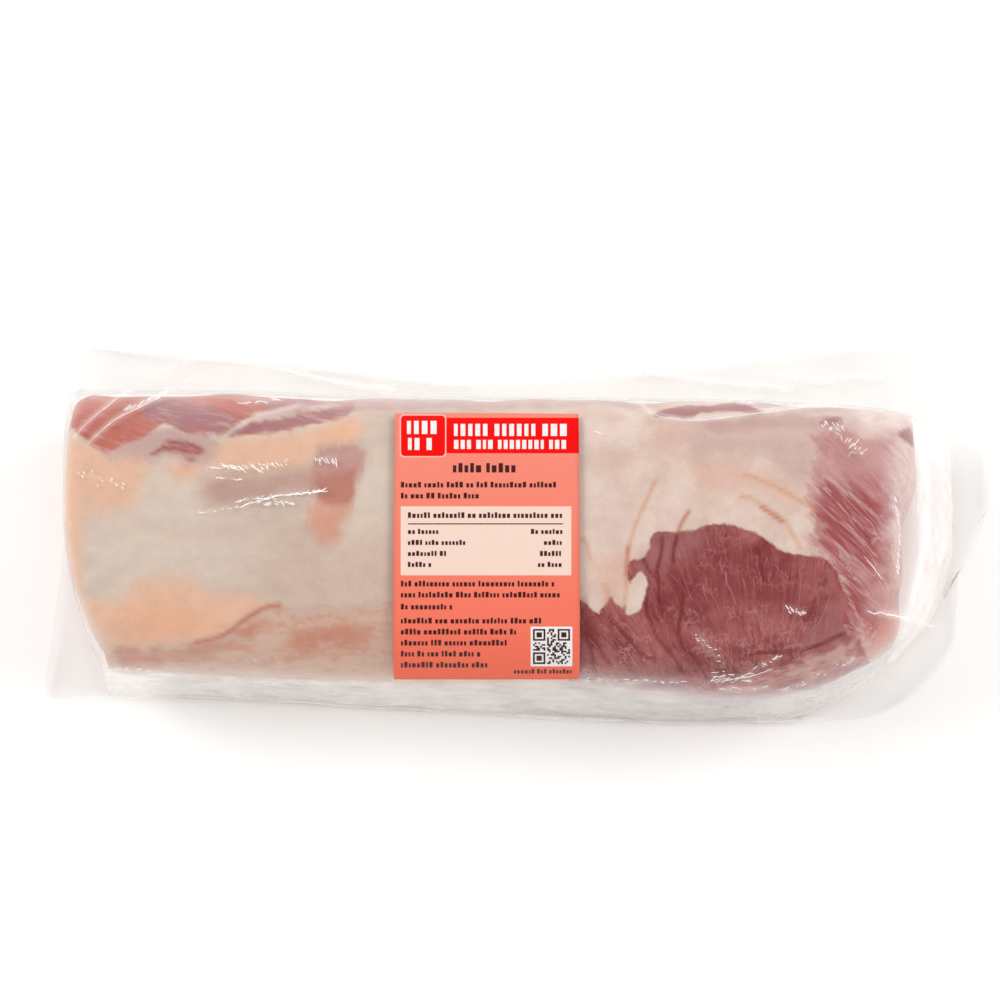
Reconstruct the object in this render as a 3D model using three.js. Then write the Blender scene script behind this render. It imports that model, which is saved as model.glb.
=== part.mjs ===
// A boneless pork loin sealed in a clear film bag, lying on its flat underside with its fat side up.
// Millimetres. +X runs along the loin, +Y away from the label's lower edge, +Z up.
// The origin is on the table, at the middle of the bag's outline.
import * as THREE from "three";

// The bag's outline on the table
const BAG_LEFT = -166;
const BAG_RIGHT = 166;
const BAG_FRONT = -69;
const BAG_BACK = 69;
const BACK_WAIST = 53.5; // the back margin is narrowest half way along
const FRONT_LEFT = -59.5; // the bag's front edge at its left end
const FRONT_BELLY_AT = 70; // where the front edge reaches furthest
const LEFT_TUCK = 6; // how far the left edge is drawn in behind the front left corner

// Rounded corners at the right, each as how far it reaches along an edge and how much it cuts off
const FILM_BACK_CORNER = { reach: 26, cut: 22 };
const FILM_FRONT_CORNER = { reach: 46, cut: 26 };
const FILM_END_CORNERS = { back: { reach: 32, cut: 12 }, front: { reach: 42, cut: 15 } };
const LOIN_FRONT_CORNER = { reach: 60, cut: 20 };
const LOIN_END_CORNER = { reach: 46, cut: 11 };

// The loin
const LOIN_LEFT = -155.5;
const LOIN_RIGHT = 137;
const LOIN_BACK = 40.5;
const LOIN_FRONT_LEFT = -52.5;
const SWELL_LEFT = 8; // the front edge swells out by this much past the left end
const SWELL_RIGHT = 4; // and by this much more in the thick right half
const LOIN_HEIGHT = 56;
const CROWN = 4.5; // how much lower the top is at its long edges
const LEFT_SLANT = 15; // the left cut runs in towards the front by this much
const LEFT_BEND = 3.6; // and the higher this is, the nearer the front it starts to
const BACK_TAPER = 5.5; // the back edge draws in by this much at the right end

// The rounded top edge of each wall, how far the film's foot stands off below it, and the film's
// sag between them: over 1 hangs in, under 1 bulges out
const FRONT = { radius: 17, foot: 4.5, sag: 1.2 };
const BACK = { radius: 20, foot: 8, sag: 1.5 };
const LEFT = { radius: 7, foot: 3, sag: 1.1 };
const RIGHT = { radius: 15, foot: 15, sag: 0.75 }; // an air pocket

// The flat sealed margins
const MARGIN = 1.1;
const RIPPLE = 1.5;
const RIPPLE_LENGTH = 37;

// Gentle swells and hollows of the top: centre, reach and height
const SWELLS = [
  { x: 82, y: -30, reach: 42, height: 3 },
  { x: -85, y: 6, reach: 34, height: 1.8 },
  { x: -112, y: -34, reach: 30, height: -1.6 },
  { x: 34, y: 22, reach: 30, height: -1.5 },
  { x: -60, y: 30, reach: 24, height: -1.2 },
];

// The paper label on top
const LABEL_LEFT = -43.3;
const LABEL_RIGHT = 19.7;
const LABEL_FRONT = -58.4;
const LABEL_BACK = 30.8;
const LABEL_GAP = 0.5;
const LABEL_THICKNESS = 0.6;
const LABEL_STEPS = { x: 12, y: 30 };

const { lerp, clamp, smoothstep } = THREE.MathUtils;

// How much a corner draws an edge in, at a distance from the end of that edge
const cornerCut = (distance, { reach, cut }) => cut * Math.max(0, 1 - distance / reach) ** 2.5;

// Outlines seen from above. Those along the bag take x, and those across it take y.
const alongShare = (x) => clamp((x - LOIN_LEFT) / (LOIN_RIGHT - LOIN_LEFT), 0, 1);
const acrossShare = (y) => clamp((y - LOIN_FRONT_LEFT) / (LOIN_BACK - LOIN_FRONT_LEFT), 0, 1);

function loinFront(x) {
  const s = alongShare(x);
  const swell = SWELL_LEFT * smoothstep(s, 0, 0.4) + SWELL_RIGHT * smoothstep(s, 0.55, 0.78);
  return LOIN_FRONT_LEFT - swell + cornerCut(LOIN_RIGHT - x, LOIN_FRONT_CORNER);
}

const loinBack = (x) => LOIN_BACK - BACK_TAPER * alongShare(x) ** 2.5;
const loinLeft = (y) => LOIN_LEFT + LEFT_SLANT * (1 - acrossShare(y)) ** LEFT_BEND;
const loinRight = (y) => LOIN_RIGHT - cornerCut(y - BAG_FRONT, LOIN_END_CORNER);

function filmBack(x) {
  const spread = Math.abs(x < 0 ? x / BAG_LEFT : x / (BAG_RIGHT - FILM_BACK_CORNER.reach));
  const edge = lerp(BACK_WAIST, BAG_BACK, Math.min(1, spread) ** 1.3);
  return edge - cornerCut(BAG_RIGHT - x, FILM_BACK_CORNER);
}

function filmFront(x) {
  const edge = lerp(BAG_FRONT, FRONT_LEFT, smoothstep(Math.abs(x - FRONT_BELLY_AT), 0, 236));
  return edge + cornerCut(BAG_RIGHT - x, FILM_FRONT_CORNER);
}

function filmLeft(y) {
  const s = clamp((y - FRONT_LEFT) / (BAG_BACK - FRONT_LEFT), 0, 1);
  return BAG_LEFT + LEFT_TUCK * Math.sin((Math.PI / 2) * Math.min(1, s * 1.6));
}

const filmRight = (y) =>
  BAG_RIGHT -
  cornerCut(BAG_BACK - y, FILM_END_CORNERS.back) -
  cornerCut(y - BAG_FRONT, FILM_END_CORNERS.front);

// The height of the loin's top, before its edges are rounded
function topHeight(x, y) {
  const middle = (loinFront(x) + loinBack(x)) / 2;
  const half = (loinBack(x) - loinFront(x)) / 2;
  let height = LOIN_HEIGHT - CROWN * Math.min(1, Math.abs(y - middle) / half) ** 2;
  for (const swell of SWELLS) {
    height += swell.height * Math.exp(-((x - swell.x) ** 2 + (y - swell.y) ** 2) / swell.reach ** 2);
  }
  return height;
}

// How far a rounded edge has dropped, at a distance in from the wall
function shoulderDrop(distance, radius) {
  const out = radius - clamp(distance, 0, radius);
  return radius - Math.sqrt(radius * radius - out * out);
}

const marginHeight = (x, y) =>
  MARGIN + (RIPPLE / 2) * (1 + Math.sin((2 * Math.PI * (x + 0.4 * y)) / RIPPLE_LENGTH));

// The film's height over the loin, away from its ends
const filmOverLoin = (x, y) =>
  topHeight(x, y) -
  shoulderDrop(y - loinFront(x), FRONT.radius) -
  shoulderDrop(loinBack(x) - y, BACK.radius);

// Grid lines: each zone of the bag, from one outer edge to the other, with its number of steps
const ALONG = { margin: 3, wall: 3, shoulder: 3, body: 30, farShoulder: 4, farWall: 5, farMargin: 3 };
const ACROSS = { margin: 2, wall: 3, shoulder: 6, body: 9, farShoulder: 6, farWall: 4, farMargin: 4 };

// Every grid line as its zone and its share of that zone
function lines(zones) {
  const list = Object.entries(zones).flatMap(([zone, steps]) =>
    Array.from({ length: steps }, (_, i) => ({ zone, share: i / steps })),
  );
  return [...list, { zone: "farMargin", share: 1 }];
}

// The steps round an edge are at equal angles
const quarterTurn = (share) => (Math.PI / 2) * share;

// The place of a grid line, from the edges of the film and the loin on one side and the other.
// Round the bag's corners the film's edge pushes the foot and the wall inwards.
function place({ zone, share }, near, far) {
  const nearFoot = Math.max(near.wall - near.foot, near.film + MARGIN);
  const nearWall = Math.max(near.wall, nearFoot + MARGIN);
  const farFoot = Math.min(far.wall + far.foot, far.film - MARGIN);
  const farWall = Math.min(far.wall, farFoot - MARGIN);
  switch (zone) {
    case "margin":
      return lerp(near.film, nearFoot, share);
    case "wall":
      return lerp(nearFoot, nearWall, share);
    case "shoulder":
      return nearWall + near.radius * (1 - Math.cos(quarterTurn(share)));
    case "body":
      return lerp(nearWall + near.radius, farWall - far.radius, share);
    case "farShoulder":
      return farWall - far.radius * (1 - Math.cos(quarterTurn(1 - share)));
    case "farWall":
      return lerp(farWall, farFoot, share);
    default:
      return lerp(farFoot, far.film, share);
  }
}

// The share of the top's height that a grid line keeps
function kept({ zone, share }, near, far, top) {
  const rounded = (radius, turn) => 1 - (radius * (1 - Math.sin(quarterTurn(turn)))) / top;
  switch (zone) {
    case "wall":
      return rounded(near.radius, 0) * share ** near.sag;
    case "shoulder":
      return rounded(near.radius, share);
    case "body":
      return 1;
    case "farShoulder":
      return rounded(far.radius, 1 - share);
    case "farWall":
      return rounded(far.radius, 0) * (1 - share) ** far.sag;
    default:
      return 0;
  }
}

// The left and right ends at a distance across, and the front and back sides at a distance along
const leftEnd = (y) => ({ film: filmLeft(y), wall: loinLeft(y), ...LEFT });
const rightEnd = (y) => ({ film: filmRight(y), wall: loinRight(y), ...RIGHT });
const frontSide = (x) => ({ film: filmFront(x), wall: loinFront(x), ...FRONT });
const backSide = (x) => ({ film: filmBack(x), wall: loinBack(x), ...BACK });

// A closed solid between two surfaces, each a grid of points: columns from left to right, and in
// each of them points from front to back
function gridSolid(upper, lower) {
  const columns = upper.length;
  const rows = upper[0].length;
  const at = (side, i, j) => (side * columns + i) * rows + j;
  const index = [];
  const quad = (a, b, c, d) => index.push(a, b, c, a, c, d);
  for (let i = 0; i + 1 < columns; i++) {
    for (let j = 0; j + 1 < rows; j++) {
      quad(at(0, i, j), at(0, i + 1, j), at(0, i + 1, j + 1), at(0, i, j + 1));
      quad(at(1, i, j), at(1, i, j + 1), at(1, i + 1, j + 1), at(1, i + 1, j));
    }
    quad(at(1, i, 0), at(1, i + 1, 0), at(0, i + 1, 0), at(0, i, 0));
    quad(at(0, i, rows - 1), at(0, i + 1, rows - 1), at(1, i + 1, rows - 1), at(1, i, rows - 1));
  }
  const right = columns - 1;
  for (let j = 0; j + 1 < rows; j++) {
    quad(at(0, 0, j), at(0, 0, j + 1), at(1, 0, j + 1), at(1, 0, j));
    quad(at(1, right, j), at(1, right, j + 1), at(0, right, j + 1), at(0, right, j));
  }
  const geometry = new THREE.BufferGeometry();
  geometry.setAttribute("position", new THREE.Float32BufferAttribute([upper, lower].flat(3), 3));
  geometry.setIndex(index);
  geometry.computeVertexNormals();
  return geometry;
}

// The film's upper surface, as points on the grid lines. A line's course follows the edges that
// it meets, and they are taken where the crossing lines pass the middle of the bag.
function filmSurface() {
  const columns = lines(ALONG);
  const rows = lines(ACROSS);
  const middleX = columns.map((column) => place(column, leftEnd(0), rightEnd(0)));
  const middleY = rows.map((row) => place(row, frontSide(0), backSide(0)));
  return columns.map((column, i) =>
    rows.map((row, j) => {
      const x = place(column, leftEnd(middleY[j]), rightEnd(middleY[j]));
      const y = place(row, frontSide(middleX[i]), backSide(middleX[i]));
      const top = topHeight(x, y);
      const height = top * kept(row, FRONT, BACK, top) * kept(column, LEFT, RIGHT, top);
      return [x, y, Math.max(height, marginHeight(x, y))];
    }),
  );
}

function sealedBag() {
  const upper = filmSurface();
  const underside = upper.map((column) => column.map(([x, y]) => [x, y, 0]));
  const film = new THREE.MeshStandardMaterial({ color: 0xc89a8c, roughness: 0.25, metalness: 0 });
  const mesh = new THREE.Mesh(gridSolid(upper, underside), film);
  mesh.name = "sealed_bag";
  return mesh;
}

function label() {
  const surface = (lift) =>
    Array.from({ length: LABEL_STEPS.x + 1 }, (_, i) =>
      Array.from({ length: LABEL_STEPS.y + 1 }, (_, j) => {
        const x = lerp(LABEL_LEFT, LABEL_RIGHT, i / LABEL_STEPS.x);
        const y = lerp(LABEL_FRONT, LABEL_BACK, j / LABEL_STEPS.y);
        return [x, y, filmOverLoin(x, y) + lift];
      }),
    );
  const paper = new THREE.MeshStandardMaterial({ color: 0xff7d67, roughness: 0.5, metalness: 0 });
  const mesh = new THREE.Mesh(gridSolid(surface(LABEL_GAP + LABEL_THICKNESS), surface(LABEL_GAP)), paper);
  mesh.name = "label";
  return mesh;
}

const pack = new THREE.Group();
pack.name = "packed_pork_loin";
pack.add(sealedBag(), label());

export default pack;
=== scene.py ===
"""A boneless raw pork loin, fat side up, sealed in a clear film bag with a paper label.

Sizes are in millimetres here and become metres when a mesh is written.
+X runs along the loin, +Y away from the label's lower edge, +Z up from the table.
Outlines that follow the photograph are lists of its pixels, in its 1000 x 1000 frame.
"""

import math
import random

import bmesh
import bpy
import numpy as np
from bpy.props import FloatProperty, FloatVectorProperty, PointerProperty
from mathutils import Matrix, Vector, noise
from mathutils.bvhtree import BVHTree


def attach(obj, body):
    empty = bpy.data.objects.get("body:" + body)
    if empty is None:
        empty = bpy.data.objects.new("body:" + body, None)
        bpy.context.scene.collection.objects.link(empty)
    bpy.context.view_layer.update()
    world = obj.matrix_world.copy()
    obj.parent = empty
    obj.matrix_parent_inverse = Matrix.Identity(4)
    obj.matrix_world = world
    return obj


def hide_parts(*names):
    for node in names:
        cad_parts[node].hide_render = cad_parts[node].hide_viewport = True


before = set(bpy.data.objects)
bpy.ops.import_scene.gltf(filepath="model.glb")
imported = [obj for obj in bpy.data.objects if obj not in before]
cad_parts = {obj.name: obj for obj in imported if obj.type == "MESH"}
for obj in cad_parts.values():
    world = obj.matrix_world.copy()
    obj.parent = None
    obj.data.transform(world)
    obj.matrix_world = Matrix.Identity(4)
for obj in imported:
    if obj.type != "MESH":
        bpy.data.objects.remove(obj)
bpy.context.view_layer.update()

bl_info = {
    "name": "Packed pork loin",
    "version": (1, 0, 0),
    "blender": (4, 5, 0),
    "location": "3D View > Sidebar > Pork loin",
    "description": "Makes a raw pork loin in a clear film bag with a label",
    "category": "Add Mesh",
}

TO_METRES = 0.001

# The camera, which also gives each pixel of the photograph its place on the pack
TARGET = (-7.0, 4.7, 30.0)
DISTANCE = 1100.0
ELEVATION = math.radians(78.0)
PIXEL = 0.345  # the size of a pixel at the target
FRAME_PIXELS = 1000
SENSOR = 36.0
FORWARD = np.array([0.0, math.cos(ELEVATION), -math.sin(ELEVATION)])
UPWARD = np.array([0.0, math.sin(ELEVATION), math.cos(ELEVATION)])
EYE = np.array(TARGET) - DISTANCE * FORWARD
FOCAL_PIXELS = DISTANCE / PIXEL

# The bag's outline
BAG_LEFT = -166.0
BAG_RIGHT = 166.0
BAG_FRONT = -69.0
BAG_BACK = 69.0
BACK_WAIST = 53.5
FRONT_LEFT = -59.5
FRONT_BELLY_AT = 70.0
FRONT_BELLY_REACH = 236.0
LEFT_TUCK = 6.0
WAIST_BEND = 1.3
LEFT_TUCK_GROWTH = 1.6
CORNER_BEND = 2.5
# Each corner of the outlines: how far its rounding reaches, and how deep it cuts
FILM_BACK_CORNER = (26.0, 22.0)
FILM_FRONT_CORNER = (46.0, 26.0)
FILM_END_BACK_CORNER = (32.0, 12.0)
FILM_END_FRONT_CORNER = (42.0, 15.0)

# The loin
LOIN_LEFT = -155.5
LOIN_RIGHT = 137.0
LOIN_BACK = 40.5
LOIN_FRONT_LEFT = -56.3
SWELL_LEFT = 4.2
SWELL_RIGHT = 4.0
LOIN_HEIGHT = 56.0
CROWN = 4.5
LEFT_SLANT = 13.5
LEFT_BEND = 4.3
BACK_TAPER = 5.5
BACK_BEND = 6.0
BACK_SWELL = 2.1
LEFT_SWELL_SHARES = (0.0, 0.4)  # the shares of the length over which the front's swells grow
RIGHT_SWELL_SHARES = (0.55, 0.78)
BACK_SWELL_ENDS = (-110.0, -40.0)
LOIN_FRONT_CORNER = (60.0, 20.0)
LOIN_END_CORNER = (46.0, 11.0)

# Each wall's top rounding, the stand-off of the film's foot, and the film's sag
FRONT = {"radius": 17.0, "foot": 4.5, "sag": 1.2}
BACK = {"radius": 20.0, "foot": 8.0, "sag": 1.5}
LEFT = {"radius": 7.0, "foot": 3.0, "sag": 1.1}
RIGHT = {"radius": 15.0, "foot": 15.0, "sag": 0.75}

MARGIN = 1.1
RIPPLE = 1.5
RIPPLE_LENGTH = 37.0
RIPPLE_SLANT = 0.4

# Swells and hollows of the top: centre, reach and height
SWELLS = [
    (82.0, -30.0, 42.0, 3.0),
    (-85.0, 6.0, 34.0, 1.8),
    (-112.0, -34.0, 30.0, -1.6),
    (34.0, 22.0, 30.0, -1.5),
    (-60.0, 30.0, 24.0, -1.2),
]

# The label
LABEL_LEFT = -42.7
LABEL_RIGHT = 19.7
LABEL_FRONT = -59.3
LABEL_BACK = 30.2
LABEL_GAP = 0.5


def clamp01(t):
    return np.clip(t, 0.0, 1.0)


def smoothstep(t, low, high):
    share = clamp01((t - low) / (high - low))
    return share * share * (3 - 2 * share)


def lerp(a, b, t):
    return a + (b - a) * t


# Outlines seen from above. Those along the bag take x, and those across it take y.


def corner_cut(distance, corner):
    reach, cut = corner
    return cut * np.maximum(0.0, 1 - distance / reach) ** CORNER_BEND


def loin_front(x):
    share = clamp01((x - LOIN_LEFT) / (LOIN_RIGHT - LOIN_LEFT))
    swell = SWELL_LEFT * smoothstep(share, *LEFT_SWELL_SHARES)
    swell = swell + SWELL_RIGHT * smoothstep(share, *RIGHT_SWELL_SHARES)
    return LOIN_FRONT_LEFT - swell + corner_cut(LOIN_RIGHT - x, LOIN_FRONT_CORNER)


def loin_back(x):
    share = clamp01((x - LOIN_LEFT) / (LOIN_RIGHT - LOIN_LEFT))
    swell = BACK_SWELL * (1 - smoothstep(x, *BACK_SWELL_ENDS))
    return LOIN_BACK + swell - BACK_TAPER * share**BACK_BEND


def loin_left(y):
    share = clamp01((y - LOIN_FRONT_LEFT) / (LOIN_BACK - LOIN_FRONT_LEFT))
    return LOIN_LEFT + LEFT_SLANT * (1 - share) ** LEFT_BEND


def loin_right(y):
    return LOIN_RIGHT - corner_cut(y - BAG_FRONT, LOIN_END_CORNER)


def film_back(x):
    spread = np.where(x < 0, x / BAG_LEFT, x / (BAG_RIGHT - FILM_BACK_CORNER[0]))
    edge = lerp(BACK_WAIST, BAG_BACK, np.minimum(1.0, np.abs(spread)) ** WAIST_BEND)
    return edge - corner_cut(BAG_RIGHT - x, FILM_BACK_CORNER)


def film_front(x):
    away = smoothstep(np.abs(x - FRONT_BELLY_AT), 0, FRONT_BELLY_REACH)
    return lerp(BAG_FRONT, FRONT_LEFT, away) + corner_cut(BAG_RIGHT - x, FILM_FRONT_CORNER)


def film_left(y):
    share = clamp01((y - FRONT_LEFT) / (BAG_BACK - FRONT_LEFT))
    return BAG_LEFT + LEFT_TUCK * np.sin(math.pi / 2 * np.minimum(1.0, share * LEFT_TUCK_GROWTH))


def film_right(y):
    back = corner_cut(BAG_BACK - y, FILM_END_BACK_CORNER)
    return BAG_RIGHT - back - corner_cut(y - BAG_FRONT, FILM_END_FRONT_CORNER)


def top_height(x, y):
    """The height of the loin's top before its edges are rounded."""
    middle = (loin_front(x) + loin_back(x)) / 2
    half = (loin_back(x) - loin_front(x)) / 2
    height = LOIN_HEIGHT - CROWN * np.minimum(1.0, np.abs(y - middle) / half) ** 2
    for at_x, at_y, reach, swell in SWELLS:
        height = height + swell * np.exp(-((x - at_x) ** 2 + (y - at_y) ** 2) / reach**2)
    return height


def shoulder_drop(distance, radius):
    out = radius - np.clip(distance, 0, radius)
    return radius - np.sqrt(radius * radius - out * out)


def film_over_loin(x, y):
    front = shoulder_drop(y - loin_front(x), FRONT["radius"])
    back = shoulder_drop(loin_back(x) - y, BACK["radius"])
    return top_height(x, y) - front - back


def margin_height(x, y):
    return MARGIN + RIPPLE / 2 * (1 + np.sin(2 * math.pi * (x + RIPPLE_SLANT * y) / RIPPLE_LENGTH))


# The photograph's pixels and the places that they show


def pixel_of(points):
    """The pixels at which points, an array of x, y and z, are seen."""
    away = points - EYE
    depth = away @ FORWARD
    half = FRAME_PIXELS / 2
    return half + FOCAL_PIXELS * away[:, 0] / depth, half - FOCAL_PIXELS * (away @ UPWARD) / depth


def ray_through(px, py):
    half = FRAME_PIXELS / 2
    side = np.array([1.0, 0.0, 0.0]) * (px - half)
    ray = FORWARD * FOCAL_PIXELS + side - UPWARD * (py - half)
    return Vector(ray / np.linalg.norm(ray))


def seen_on(tree, px, py):
    """The point of a surface, and its normal, that a pixel shows."""
    start = Vector(EYE * TO_METRES)
    place, normal, _, _ = tree.ray_cast(start, ray_through(px, py))
    return place, normal


def smooth_line(points, closed, steps=4):
    """A Catmull-Rom curve through points, as an array of more points."""
    pts = np.array(points, float)
    count = len(pts)
    spans = count if closed else count - 1
    curve = []
    for i in range(spans):
        at = [i - 1, i, i + 1, i + 2]
        if closed:
            p0, p1, p2, p3 = (pts[k % count] for k in at)
        else:
            p0, p1, p2, p3 = (pts[min(max(k, 0), count - 1)] for k in at)
        for step in range(steps):
            t = step / steps
            bend = 2 * p0 - 5 * p1 + 4 * p2 - p3
            twist = 3 * (p1 - p2) + p3 - p0
            curve.append(0.5 * (2 * p1 + (p2 - p0) * t + bend * t * t + twist * t**3))
    if not closed:
        curve.append(pts[-1])
    return np.array(curve)


def distance_to_line(px, py, line, closed):
    """How far each place is from a line, in pixels."""
    ends = np.roll(line, -1, axis=0) if closed else line[1:]
    starts = line if closed else line[:-1]
    best = np.full(len(px), 1e9)
    for (ax, ay), (bx, by) in zip(starts, ends):
        dx, dy = bx - ax, by - ay
        along = clamp01(((px - ax) * dx + (py - ay) * dy) / max(dx * dx + dy * dy, 1e-9))
        best = np.minimum(best, (px - ax - along * dx) ** 2 + (py - ay - along * dy) ** 2)
    return np.sqrt(best)


def inside_outline(px, py, line):
    inside = np.zeros(len(px), bool)
    for (ax, ay), (bx, by) in zip(line, np.roll(line, -1, axis=0)):
        if ay == by:
            continue
        crosses = (ay > py) != (by > py)
        inside ^= crosses & (px < ax + (py - ay) * (bx - ax) / (by - ay))
    return inside


def depth_inside(px, py, outlines):
    """How deep each place is inside the nearest of several outlines, in millimetres."""
    deepest = np.full(len(px), -1e9)
    for outline in outlines:
        line = smooth_line(outline, closed=True)
        away = distance_to_line(px, py, line, closed=True) * PIXEL
        deepest = np.maximum(deepest, np.where(inside_outline(px, py, line), away, -away))
    return deepest


def ridges(px, py, lines, width):
    """How near each place is to the lines, from 0 to 1 on one of them."""
    nearest = np.zeros(len(px))
    for line in lines:
        away = distance_to_line(px, py, smooth_line(line, closed=False), closed=False) * PIXEL
        nearest = np.maximum(nearest, np.exp(-((away / width) ** 2)))
    return nearest


# Regions of the loin's top, as outlines in pixels of the photograph

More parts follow.
